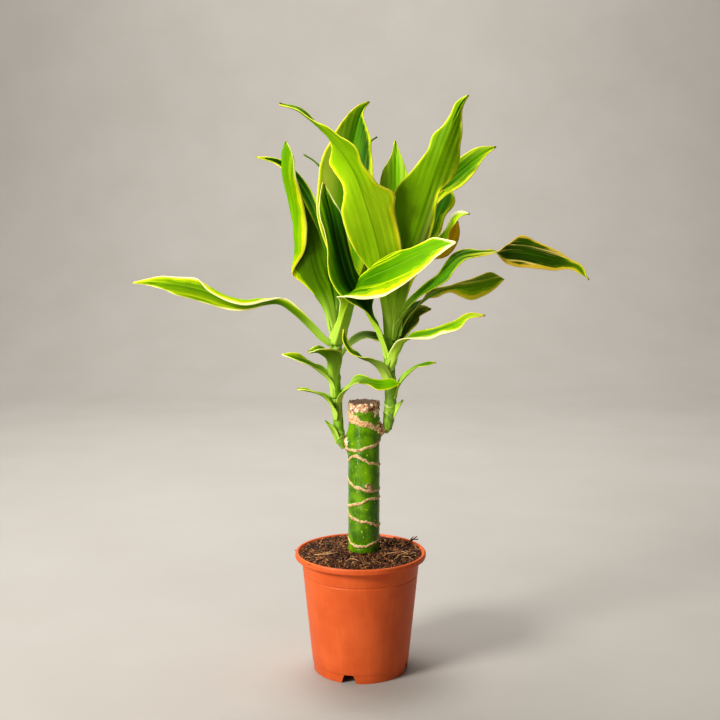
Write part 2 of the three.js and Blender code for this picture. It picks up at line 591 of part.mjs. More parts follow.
    right: [0.27, 0.32, 0.34, 0.43, 0.49, 0.58, 0.62, 0.62, 0.49, 0.64, 0.95, 0.78, 0.35, 0.04],
    face: [[-0.3, -0.9, 0.2], [-0.3, -0.9, 0.2], [-0.3, -0.9, 0.2]],
    fold: [25, 15, 10, 15], wave: [1, 2.5, 0],
  },
  right_under_leaf: {
    path: [
      [33, 6, 306.8], [36.1, 20, 334.9], [41.9, 30, 362], [52.3, 38, 384.9], [63.8, 46, 407],
      [73.4, 52, 429.4], [81, 56, 448.1], [85.8, 58, 461.2],
    ],
    width: 32.8,
    left: [0.17, 0.16, 0.17, 0.19, 0.27, 0.39, 0.51, 0.61, 0.66, 0.65, 0.49, 0.04],
    right: [0.3, 0.3, 0.28, 0.36, 0.4, 0.46, 0.67, 0.85, 0.75, 1, 0.33, 0.04],
    face: [[-0.3, -0.9, 0.2], [-0.3, -0.9, 0.2], [-0.3, -0.9, 0.2]],
    fold: [25, 15, 10, 15], wave: [1, 2.5, 0],
  },
  right_bright_leaf: {
    path: [
      [33.6, -2, 308.4], [36.4, 3, 336], [45.3, 5, 361], [59.4, 2, 379], [72.1, -6, 395.9],
      [76.8, -12, 405.5], [81.7, -16, 413.2], [87.5, -19, 417.1], [95.2, -20, 417.1],
    ],
    width: 16,
    left: [0.45, 0.3, 0.21, 0.17, 0.26, 0.31, 0.46, 0.45, 0.52, 0.24, 0.51, 0.06],
    right: [0.46, 0.5, 0.47, 0.54, 0.51, 0.54, 0.55, 0.73, 1, 0.5, 0.9, 0.07],
    face: [[-0.3, -0.8, 0.2], [-0.3, -0.8, 0.2], [0, -0.6, 0.8]],
    fold: [25, 15, 10, 15], wave: [0.6, 1.5, 0], steps: 11,
  },
  right_brown_leaf: {
    path: [
      [34.6, 2, 309.8], [35.7, 8, 331.1], [39.3, 11, 348.2], [45.7, 12, 362.6], [54.6, 11, 371.6],
      [64.4, 9, 378.4], [72.2, 6, 383.8], [79.2, 4, 391.4], [84, 4, 401.2], [86.6, 5, 411.4],
    ],
    width: 15.3,
    left: [0.35, 0.33, 0.35, 0.3, 0.36, 0.35, 0.36, 0.45, 0.6, 0.74, 0.63, 0.58, 0.08],
    right: [0.49, 0.5, 0.46, 0.54, 0.53, 0.52, 0.57, 0.49, 0.39, 0.99, 1, 0.71, 0.08],
    face: [[-0.3, -0.8, 0.2], [-0.3, -0.8, 0.2], [-0.3, -0.8, 0.2]],
    fold: [25, 15, 10, 15], wave: [0.6, 1.5, 0], steps: 11, colour: "#a8801e",
  },
  right_far_leaf: {
    path: [
      [30.9, -3, 308.5], [40.6, -5, 331.1], [53, -5, 346.3], [65.4, -5, 357.8], [76, -4, 369.3],
      [88.6, -2, 379.9], [103.9, 0, 383], [119.3, 2, 383.4], [132.1, 4, 383.9], [146.8, 6, 383],
      [161.2, 6, 379.8], [174.7, 6, 376.2], [186.3, 5, 372.2], [195.2, 4, 369.1],
      [205.5, 3, 358.9],
    ],
    width: 31.4,
    left: [
      0.42, 0.42, 0.55, 0.43, 0.34, 0.3, 0.13, 0.32, 0.42, 0.37, 0.22, 0.48, 0.74, 0.88, 0.81, 0.7,
      0.59, 0.26, 0.23, 0.04,
    ],
    right: [
      0.42, 0.46, 0.42, 0.45, 0.53, 0.83, 1, 0.65, 0.55, 0.38, 0.3, 0.36, 0.42, 0.98, 0.79, 0.66,
      0.52, 0.33, 0.25, 0.04,
    ],
    face: [
      [-0.6, 0.3, 0.6], [-0.5, 0, 0.8], [-0.4, -0.3, 1], [-0.4, -0.5, 0.9], [-0.4, -0.6, 0.8],
      [-0.3, -0.7, 0.7], [-0.2, -0.7, 0.7], [0, -0.7, 0.7], [0, -0.15, 1], [0, 1, 0.1], [0, 1, 0],
      [0, 1, 0], [0, 1, 0.1], [0, 1, 0.3], [0, -0.3, 1],
    ],
    fold: [30, 20, 10, 5, 10, 0, 0], wave: [0.8, 2.5, 0], steps: 16,
  },
  right_olive_leaf: {
    path: [
      [32, 2, 299], [40.1, 5, 321.4], [50.2, 8, 332.9], [61.1, 11, 341.8], [72.2, 14, 348],
      [83.3, 16, 350.7], [95.3, 18, 351.5], [109.3, 21, 353.2], [121.4, 23, 355.8],
      [131.7, 25, 358.5],
    ],
    width: 26.3,
    left: [0.36, 0.34, 0.32, 0.38, 0.74, 0.55, 0.71, 0.31, 0.66, 1, 0.83, 0.54, 0.04],
    right: [0.64, 0.6, 0.57, 0.54, 0.52, 0.78, 0.4, 0.28, 0.43, 0.54, 0.7, 0.73, 0.04],
    face: [[-0.6, -0.2, 0.6], [-0.4, -0.3, 1], [0, 0.6, 0.8], [0, 1, 0.2], [0, 1, 0.2]],
    fold: [30, 20, 10, 0, 0], wave: [0.8, 2, 0],
  },
  right_front_leaf: {
    path: [
      [25.5, -6, 276.3], [29.9, -9, 286.6], [34.2, -13, 296], [37.5, -17, 303.5],
      [43.5, -21, 308.3], [53.8, -25, 310.9], [67.5, -30, 315.7], [81.9, -34, 321.3],
      [94.4, -38, 329.4], [106.9, -42, 330.1],
    ],
    width: 18,
    left: [0.4, 0.52, 0.2, 0.3, 0.69, 0.75, 0.65, 0.47, 0.41, 0.46, 0.39, 0.37, 0.21, 0.07],
    right: [0.6, 0.77, 0.85, 0.9, 1, 1, 1, 1, 0.65, 0.67, 0.71, 0.33, 0.32, 0.07],
    face: [
      [-0.3, 1, 0.2], [-0.4, 1, 0.2], [-0.6, 0.5, 0.5], [-0.3, -0.4, 1], [0, -0.7, 0.8],
      [0, -0.7, 0.7], [0, -0.7, 0.7], [0, -0.7, 0.7],
    ],
    fold: [25, 15, 10], wave: [0.6, 1.5, 0], steps: 11,
  },
  right_short_leaf: {
    path: [
      [27.4, -4, 276], [32.8, -2, 291.2], [39.2, 2, 304.4], [44.8, 7, 315.8], [49.5, 12, 324.5],
      [56, 15, 330.7], [64.4, 18, 331.4],
    ],
    width: 27.1,
    left: [0.45, 0.36, 0.8, 0.66, 0.56, 0.5, 0.48, 0.46, 0.04],
    right: [0.45, 0.61, 0.49, 0.8, 1, 0.97, 0.53, 0.47, 0.03],
    face: [[-1, 0.3, 0.3], [-0.5, -0.2, 0.8], [-0.3, -0.8, 0.6]],
    fold: [30, 20, 10], wave: [0.6, 1.5, 0],
  },
  right_low_leaf: {
    path: [
      [32.1, -1, 251.9], [33.8, -2, 261.2], [37.3, -4, 268.3], [42.6, -6, 274.5],
      [49.6, -8, 281.1], [58.4, -10, 284.4], [67.3, -11, 285.9],
    ],
    width: 12.7,
    left: [0.64, 0.64, 0.65, 0.7, 0.45, 0.34, 0.38, 0.09],
    right: [0.64, 0.55, 0.63, 0.81, 0.92, 0.81, 1, 0.09],
    face: [[-1, 0, 0], [-0.5, -0.4, 1], [0, -0.4, 1]],
    fold: [30, 20, 10], wave: [0.4, 1.5, 0], steps: 11,
  },
  right_inner_leaf: {
    path: [
      [26.4, -6, 263.6], [23.7, -8, 273.8], [17.3, -12, 282], [9.2, -15, 286.8], [0.4, -17, 290.6],
      [-6.7, -18, 295.6], [-11.1, -18, 301.9], [-13.8, -18, 308.1], [-14.7, -18, 316],
    ],
    width: 14.6,
    left: [0.46, 0.48, 0.59, 0.67, 0.52, 0.68, 0.53, 0.57, 0.56, 0.52, 0.08],
    right: [0.86, 1, 0.97, 0.77, 0.68, 0.74, 0.73, 0.35, 0.19, 0.31, 0.05],
    face: [[0.3, 1, 0.2], [0.3, 0.9, 0.4], [0.2, 0.3, 0.9], [0.3, -0.7, 0.7], [0.6, -0.6, 0.2]],
    fold: [30, 20, 10, 20], wave: [0.3, 1.5, 0], steps: 11,
  },
  right_scale_leaf: {
    path: [[31, -2, 237], [34, -4, 245], [38, -5, 251]],
    width: 8, shape: [1, 0.85, 0.6, 0.08],
    face: [[-0.6, -0.7, 0.3], [-0.3, -0.8, 0.5]],
    fold: [20, 15, 15], wave: [0, 1, 0], steps: 8,
  },
};

// The leaf's two faces as grids of points, `steps` along it and `cells` across each half
function leafFaces(leaf, steps, cells, grow) {
  const { path, width, shape, left = shape, right = shape, face, fold, curl = 0 } = leaf;
  const { curlLeft = curl, curlRight = curl, creaseLeft, creaseRight, wave } = leaf;
  const samples = 240,
    trail = Array.from({ length: samples + 1 }, (_, i) => vec(keyed(path, i / samples)));
  const run = [0];
  for (let i = 1; i <= samples; i++) run.push(run[i - 1] + trail[i].distanceTo(trail[i - 1]));
  const midrib = (u) => {
    const s = clamp(u, 0, 1) * run[samples];
    const i = clamp(run.findIndex((d) => d >= s), 1, samples);
    return trail[i - 1].clone().lerp(trail[i], (s - run[i - 1]) / (run[i] - run[i - 1]));
  };
  const grid = [];
  for (let i = 0; i <= steps; i++) {
    const u = i / steps;
    const p = midrib(u),
      t = midrib(u + 0.012).sub(midrib(u - 0.012)).normalize();
    const up = vec(keyed(face, u)).projectOnPlane(t).normalize(),
      side = t.clone().cross(up);
    const row = [];
    const sides = [
      [-1, left, curlLeft, creaseLeft],
      [1, right, curlRight, creaseRight],
    ];
    for (const [sign, share, bend, crease] of sides) {
      const half = Math.max((width / 2) * keyed(share, u), 0.6) + grow;
      const [wide, count, start] = wave;
      const rise = rad(keyed(fold, u)),
        turn = rad(keyed(bend, u));
      const from = crease ? keyed(crease, u) : 0,
        over = crease ? CREASE : 1; // the curl is spread over the whole half, or kept to a crease
      let x = 0,
        z = 0;
      const cut = 24;
      const points = [p.clone()];
      for (let k = 1; k <= cut; k++) {
        const angle = rise + turn * clamp(((k - 0.5) / cut - from) / over, 0, 1);
        x += (Math.cos(angle) * half) / cut;
        z += (Math.sin(angle) * half) / cut;
        if (k % (cut / cells)) continue;
        const v = k / cut;
        const ripple =
          wide * v * v * Math.sin(2 * Math.PI * (count * u + start + 0.37 * sign)) *
          clamp((u - 0.15) / 0.2, 0, 1) * clamp((1 - u) / 0.15, 0, 1);
        points.push(p.clone().addScaledVector(side, sign * x).addScaledVector(up, z + ripple));
      }
      if (sign < 0) row.push(...points.reverse().slice(0, -1));
      else row.push(...points);
    }
    grid.push(row);
  }
  return grid;
}

// A closed blade: both faces split into triangles alike, joined by blunt margins
function leafSolid(leaf, grow = 0) {
  const steps = leaf.steps ?? 14,
    cells = leaf.cells ?? 2,
    cols = 2 * cells + 1;
  const grid = leafFaces(leaf, steps, cells, grow);
  const upper = [],
    lower = [];
  for (let i = 0; i <= steps; i++)
    for (let j = 0; j < cols; j++) {
      const along = grid[Math.min(i + 1, steps)][j].clone().sub(grid[Math.max(i - 1, 0)][j]);
      const across = grid[i][Math.min(j + 1, cols - 1)].clone().sub(grid[i][Math.max(j - 1, 0)]);
      const normal = across.cross(along).normalize();
      const half = (BLADE * (1 - 0.3 * Math.abs(j / cells - 1) ** 2)) / 2 + grow;
      upper.push(grid[i][j].clone().addScaledVector(normal, half));
      lower.push(grid[i][j].clone().addScaledVector(normal, -half));
    }
  const n = upper.length,
    faces = [];
  const at = (i, j) => i * cols + j;
  for (let i = 0; i < steps; i++)
    for (let j = 0; j + 1 < cols; j++) {
      const [a, b, c, d] = [at(i, j), at(i, j + 1), at(i + 1, j + 1), at(i + 1, j)];
      faces.push([a, b, c], [a, c, d], [n + a, n + c, n + b], [n + a, n + d, n + c]);
    }
  const edge = [];
  for (let j = 0; j < cols; j++) edge.push(at(0, j));
  for (let i = 1; i <= steps; i++) edge.push(at(i, cols - 1));
  for (let j = cols - 2; j >= 0; j--) edge.push(at(steps, j));
  for (let i = steps - 1; i >= 1; i--) edge.push(at(i, 0));
  edge.forEach((a, k) => {
    const b = edge[(k + 1) % edge.length];
    faces.push([n + a, n + b, b], [n + a, b, a]);
  });
  return solid(geometry([...upper, ...lower], faces));
}

// Assembly. Each piece is trimmed where it would touch one already placed.
add("pot", fromSolid(potSolid()), "#d4622c", 0.45);
add("soil", fromSolid(soilSolid()), "#3b2416", 0.95);
add("cane", fromSolid(caneSolid()), "#5f8f14", 0.4);

const placed = [caneSolid(GAP)];
for (const [name, shoot] of Object.entries(SHOOTS)) {
  const clear = { ...shoot, radius: shoot.radius.map((r) => r + GAP) };
  const trimmed = largest(solid(shootGeometry(shoot)).subtract(placed[0]));
  add(name, fromSolid(trimmed), "#8fbf4a");
  placed.push(solid(shootGeometry(clear)));
}
for (const [name, leaf] of Object.entries(LEAVES)) {
  let blade = leafSolid(leaf);
  for (const other of placed) if (near(blade, other)) blade = blade.subtract(other);
  add(name, fromSolid(largest(blade)), leaf.colour ?? "#58a018");
  placed.push(leafSolid(leaf, GAP));
}

export default group;
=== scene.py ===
"""The looks of a corn plant in a nursery pot: a cut cane with two leafy shoots, in soil.

Metres, +Z up, the pot's axis on the Z axis, the photographed side facing -Y. Sizes are in
millimetres in the tables and are multiplied by MM where a mesh is made.
"""
import math

import bpy
import numpy as np
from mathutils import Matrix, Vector


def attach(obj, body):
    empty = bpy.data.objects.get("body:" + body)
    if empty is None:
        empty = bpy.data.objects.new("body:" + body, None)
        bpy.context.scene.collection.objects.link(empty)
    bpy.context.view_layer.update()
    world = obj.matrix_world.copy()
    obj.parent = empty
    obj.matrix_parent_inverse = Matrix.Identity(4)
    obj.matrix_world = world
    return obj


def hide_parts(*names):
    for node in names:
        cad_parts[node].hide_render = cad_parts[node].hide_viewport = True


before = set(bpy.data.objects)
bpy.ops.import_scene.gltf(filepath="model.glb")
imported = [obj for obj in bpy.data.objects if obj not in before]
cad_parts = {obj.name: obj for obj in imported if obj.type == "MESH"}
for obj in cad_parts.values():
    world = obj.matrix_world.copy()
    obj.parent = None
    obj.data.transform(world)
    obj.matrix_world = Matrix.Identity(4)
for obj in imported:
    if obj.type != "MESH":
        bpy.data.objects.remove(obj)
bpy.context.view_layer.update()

MM = 0.001
TURN = 2 * math.pi

# ---------------------------------------------------------------- sizes, mm
POT_HEIGHT = 110
RIM_RADIUS = 60
RIM_DROP = 5
BODY_TOP_RADIUS = 54.2
FOOT_RADIUS = 43.8
WALL = 1.3
FLOOR_HEIGHT = 8.5
NOTCHES = 4
NOTCH_AZIMUTH = -14  # degrees from the front
NOTCH_REACH = (36, 50)  # the radii between which the foot is cut
NOTCH_OUTLINE = ((-0.6, 7.2), (7.0, 4.6), (8.0, 3.8))  # height and half-width, going up
DRAIN_HOLES = 6  # round one in the middle
DRAIN_RADIUS = 4.5
DRAIN_RING = 27
SOIL_RIM_HEIGHT = 107.6
SOIL_HEAP = 4
SOIL_EDGE = 55.7
SOIL_HOLE = 14.6  # the radius left open round the cane
CANE_RADIUS = 15.2
CANE_X = 3
CANE_TOP = 249
CANE_FOOT = 40
CANE_SEEN = 105  # the height from which the skin is modelled finely
SKIN_RADIUS = 15  # where the skin's roughness is read
CANE_ROW = 0.55
SHOOT_LENGTH = 150


# ---------------------------------------------------------------- small maths
def keyed(keys, where):
    """A smooth curve through equally spaced keys, read at many places from 0 to 1."""
    where = np.clip(np.asarray(where, float), 0, 1)
    keys = np.asarray(keys, float)
    if keys.ndim == 0:
        return np.full(where.shape, float(keys))
    last = len(keys) - 1
    spot = where * last
    i = np.minimum(spot.astype(int), last - 1)
    f = spot - i
    if keys.ndim > 1:
        f = f[..., None]
    padded = np.concatenate([[2 * keys[0] - keys[1]], keys, [2 * keys[-1] - keys[-2]]])
    p0, p1, p2, p3 = (padded[i + k] for k in range(4))
    square, cube = 2 * p0 - 5 * p1 + 4 * p2 - p3, 3 * p1 - p0 - 3 * p2 + p3
    return 0.5 * (2 * p1 + (p2 - p0) * f + square * f**2 + cube * f**3)


def around(keys, degrees):
    """A value keyed by [degrees, value] round the cane, eased between its keys."""
    ring = np.array(keys + [[keys[0][0] + 360, keys[0][1]]], float)
    turned = np.where(degrees < ring[0, 0], degrees + 360, degrees)
    k = np.clip(np.searchsorted(ring[:, 0], turned), 1, len(ring) - 1)
    f = (turned - ring[k - 1, 0]) / (ring[k, 0] - ring[k - 1, 0])
    return ring[k - 1, 1] + (ring[k, 1] - ring[k - 1, 1]) * f * f * (3 - 2 * f)


def bump(distance, width):
    """1 at no distance, falling away like a bell."""
    return np.exp(-((distance / width) ** 2))


def step(value, low, high):
    """0 below low, 1 above high, eased between."""
    t = np.clip((value - low) / (high - low), 0, 1)
    return t * t * (3 - 2 * t)


def rough(x, y, z, size, seed=0):
    """Smooth seeded noise from -1 to 1 with bumps about `size` mm across."""
    dice, waves = np.random.default_rng(seed), 9
    total = np.zeros(np.broadcast(x, y, z).shape)
    for _ in range(waves):
        way = dice.normal(size=3)
        way *= TURN / (size * (0.6 + 0.9 * dice.random())) / np.linalg.norm(way)
        total += np.sin(way[0] * x + way[1] * y + way[2] * z + 6.3 * dice.random())
    return total / (waves / 2)


def turns(columns):
    """Evenly spread angles once round."""
    return np.linspace(0, TURN, columns, endpoint=False)


def circle(radius, height, columns, x=0.0, y=0.0):
    """A level loop of points round a centre."""
    turn = turns(columns)
    return np.stack([x + radius * np.cos(turn), y + radius * np.sin(turn), 0 * turn + height], -1)


def unit(vectors):
    return vectors / np.linalg.norm(vectors, axis=-1, keepdims=True)


def wrapped(centre, reach, level):
    """Loops of points round a line of centres, square to it. Each row of reach has one loop's
    radii, which start in the direction square to both the line and level."""
    along = unit(np.gradient(centre, axis=0))
    right = unit(np.cross(level, along))
    forth = np.cross(along, right)
    turn = turns(reach.shape[1])
    loops = centre[:, None] + right[:, None] * (reach * np.cos(turn))[..., None]
    return loops + forth[:, None] * (reach * np.sin(turn))[..., None]


# ---------------------------------------------------------------- nodes
def is_vector(value):
    if isinstance(value, Wire):
        return value.socket.type in ("VECTOR", "RGBA")
    return isinstance(value, (tuple, list))


class Wire:
    """An output of a node. An expression on it adds Math or Vector Math nodes."""

    def __init__(self, graph, socket):
        self.graph, self.socket = graph, socket

    def __getitem__(self, name):
        return Wire(self.graph, self.socket.node.outputs[name])

    def __add__(self, other):
        return self.graph.maths("ADD", self, other)

    def __radd__(self, other):
        return self.graph.maths("ADD", other, self)

    def __sub__(self, other):
        return self.graph.maths("SUBTRACT", self, other)

    def __rsub__(self, other):
        return self.graph.maths("SUBTRACT", other, self)

    def __mul__(self, other):
        return self.graph.maths("MULTIPLY", self, other)

    __rmul__ = __mul__

    def __truediv__(self, other):
        return self.graph.maths("DIVIDE", self, other)

    def __pow__(self, other):
        return self.graph.maths("POWER", self, other)

    def __abs__(self):
        return self.graph.maths("ABSOLUTE", self)


class Graph:
    """A node tree while it is drawn: add() makes any node, maths() the sums."""

    def __init__(self, tree):
        self.tree = tree

    def feed(self, socket, value):
        if isinstance(value, Wire):
            self.tree.links.new(value.socket, socket)
        else:
            socket.default_value = value

    def add(self, kind, sockets=None, output=0, **settings):
        """A node of a kind. `stops` sets a ramp's colours; `sockets` takes values or wires."""
        node = self.tree.nodes.new(kind)
        stops = settings.pop("stops", None)
        for name, value in settings.items():
            setattr(node, name, value)
        if stops:
            ramp = node.color_ramp.elements
            while len(ramp) < len(stops):
                ramp.new(1.0)
            for mark, (place, colour) in zip(ramp, stops):
                mark.position, mark.color = place, (*colour, 1)
        for key, value in (sockets or {}).items():
            self.feed(node.inputs[key], value)
        return Wire(self, node.outputs[output]) if len(node.outputs) else node

    def maths(self, operation, *values):
        vectors = [is_vector(v) for v in values]
        if not any(vectors):
            return self.add("ShaderNodeMath", dict(enumerate(values)), operation=operation)
        if operation == "MULTIPLY" and not all(vectors):
            vector, scalar = values if vectors[0] else values[::-1]
            sockets = {0: vector, "Scale": scalar}
            return self.add("ShaderNodeVectorMath", sockets, operation="SCALE")
        output = "Value" if operation == "DOT_PRODUCT" else 0
        sockets = dict(enumerate(values))
        return self.add("ShaderNodeVectorMath", sockets, output, operation=operation)

    def between(self, value, low, high, start=0.0, end=1.0):
        """`start` where the value is under low, `end` where it is over high, smooth between."""
        return self.add(
            "ShaderNodeMapRange",
            {"Value": value, "From Min": low, "From Max": high, "To Min": start, "To Max": end},
            interpolation_type="SMOOTHSTEP",
        )

    def join(self, x=0.0, y=0.0, z=0.0):
        return self.add("ShaderNodeCombineXYZ", {"X": x, "Y": y, "Z": z})


class Finish(Graph):
    """A material's node tree, with what the finishes here have in common."""

    def __init__(self, name):
        self.material = bpy.data.materials.new(name)
        self.material.use_nodes = True
        super().__init__(self.material.node_tree)
        self.shader = self.tree.nodes["Principled BSDF"]

    def read(self, attribute):
        """A number kept at the mesh's own points."""
        return self.add("ShaderNodeAttribute", output="Fac", attribute_name=attribute)

    def place(self):
        """Where a point is, in millimetres."""
        return self.add("ShaderNodeTexCoord", output="Object") * (1 / MM)

    def noise(self, spot, size, detail=3.0, roughness=0.55):
        """Noise of about `size` in the unit of spot, from 0 to 1."""
        return self.add(
            "ShaderNodeTexNoise",
            {"Vector": spot, "Scale": 1 / size, "Detail": detail, "Roughness": roughness},
        )

    def blend(self, under, over, share):
        """One colour over another, by a share from 0 to 1."""
        under, over = (c if isinstance(c, Wire) else (*c, 1.0) for c in (under, over))
        sockets = {"Factor": share, 6: under, 7: over}
        return self.add("ShaderNodeMix", sockets, output=2, data_type="RGBA")

    def paint(self, colour, roughness, height=None, relief=0.0, **constants):
        """Feeds the shader. `height` is raised by `relief` mm where it is 1."""
        self.feed(self.shader.inputs["Base Color"], colour)
        self.feed(self.shader.inputs["Roughness"], roughness)
        if height is not None:
            sockets = {"Height": height, "Distance": relief * MM, "Strength": 1.0}
            self.feed(self.shader.inputs["Normal"], self.add("ShaderNodeBump", sockets))
        for name, value in constants.items():
            self.shader.inputs[name.replace("_", " ")].default_value = value
        return self.material


def rgb(red, green, blue):
    """A photo colour, 0 to 255, as the shader's linear colour."""
    def linear(c):
        c = c / 255
        return c / 12.92 if c <= 0.04045 else ((c + 0.055) / 1.055) ** 2.4

    return tuple(linear(c) for c in (red, green, blue))


# ---------------------------------------------------------------- meshes
def mesh_object(name, points, faces, material=None, **values):
    """A mesh from points in millimetres; extra numbers are kept at its points."""
    mesh = bpy.data.meshes.new(name)
    mesh.from_pydata((np.asarray(points, float) * MM).tolist(), [], faces)
    for key, numbers in values.items():
        kept = mesh.attributes.new(key, "FLOAT", "POINT")
        kept.data.foreach_set("value", np.asarray(numbers, np.float32).ravel())
    mesh.polygons.foreach_set("use_smooth", [True] * len(mesh.polygons))
    if material:
        mesh.materials.append(material)
    return placed(name, mesh)


def placed(name, data):
    """An object with its data, linked to the scene."""
    made = bpy.data.objects.new(name, data)
    bpy.context.scene.collection.objects.link(made)
    return made


def stacked(rings):
    """Points and faces of a closed body: quads over a stack of loops of points, which face out
    when the stack goes up, and a fan at each end."""
    rings = np.asarray(rings, float)
    rows, columns = rings.shape[:2]
    i, j = np.meshgrid(np.arange(rows - 1) * columns, np.arange(columns), indexing="ij")
    k = (j + 1) % columns
    faces = np.stack([i + j, i + k, i + columns + k, i + columns + j], -1).reshape(-1, 4).tolist()
    bottom, top, last = rows * columns, rows * columns + 1, (rows - 1) * columns
    for j in range(columns):
        k = (j + 1) % columns
        faces += [(bottom, k, j), (top, last + j, last + k)]
    return np.concatenate([rings.reshape(-1, 3), [rings[0].mean(0), rings[-1].mean(0)]]), faces


def joined(bodies):
    """Points and faces of several bodies as one."""
    faces, count = [], 0
    for points, own_faces in bodies:
        faces += [tuple(v + count for v in face) for face in own_faces]
        count += len(points)
    return np.concatenate([points for points, _ in bodies]), faces


def finished(name, source, node):
    """Turns an object with live modifiers into the plain mesh piece that stands for a node."""
    graph = bpy.context.evaluated_depsgraph_get()
    mesh = bpy.data.meshes.new_from_object(source.evaluated_get(graph), depsgraph=graph)
    source.modifiers.clear()
    bpy.data.objects.remove(source)
    mesh.name = name
    return settle(placed(name, mesh), node)


def settle(piece, node):
    """The piece rides on the plant's one body and takes a node's place."""
    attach(piece, "root")
    if node:
        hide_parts(node)
    return piece


def new_tree(name, **inputs):
    """A Geometry Nodes tree with a geometry input and output and named inputs, and its graph."""
    tree = bpy.data.node_groups.new(name, "GeometryNodeTree")
    kinds = {float: "Float", int: "Int", bpy.types.Material: "Material"}

    def socket(key, way, kind):
        tree.interface.new_socket(key, in_out=way, socket_type="NodeSocket" + kind)

    socket("Geometry", "INPUT", "Geometry")
    for key, kind in inputs.items():
        socket(key.replace("_", " "), "INPUT", kinds[kind])
    socket("Geometry", "OUTPUT", "Geometry")
    graph = Graph(tree)
    return tree, graph, graph.add("NodeGroupInput")


def end_tree(graph, geometry, material):
    """Every tree ends alike: smooth faces, real meshes for instances, and the material."""
    geometry = graph.add("GeometryNodeSetShadeSmooth", {"Geometry": geometry})
    geometry = graph.add("GeometryNodeRealizeInstances", {"Geometry": geometry})
    geometry = graph.add("GeometryNodeSetMaterial", {"Geometry": geometry, "Material": material})
    graph.add("NodeGroupOutput", {"Geometry": geometry})


def stored(graph, geometry, key, value, domain="POINT", **sockets):
    """The geometry with a number kept under a name."""
    return graph.add(
        "GeometryNodeStoreNamedAttribute",
        {"Geometry": geometry, "Name": key, "Value": value, **sockets},
        data_type="FLOAT", domain=domain,
    )


def named(graph, key, kind="FLOAT"):
    """A number or vector that the mesh keeps under a name."""
    return graph.add("GeometryNodeInputNamedAttribute", {"Name": key}, data_type=kind)


def run_tree(source, tree, **inputs):
    """Puts the tree on an object as a modifier, with its inputs set by identifier."""
    modifier = source.modifiers.new(tree.name, "NODES")
    modifier.node_group = tree
    for item in tree.interface.items_tree:
        key = item.name.replace(" ", "_")
        if item.in_out == "INPUT" and key in inputs:
            modifier[item.identifier] = inputs[key]
    return source


# ---------------------------------------------------------------- leaves
PATH_POINTS = 400  # on which a midrib's length is measured
RIB_POINTS = 97
BLADE_STEPS = 84
BLADE_CELLS = 11
VEIN_GAP = 0.95  # mm
BLADE_THICKNESS = 0.9  # mm near the midrib
NARROWEST = 0.6  # mm, the least half-breadth
CREASE = 0.22  # share of a half over which a folded leaf turns
SMALL_LEAF = 20  # mm of breadth, under which a blade is plainer
PLEAT = 0.3  # mm
SEED_STEP = 5.3  # sets one leaf's noise apart from the next

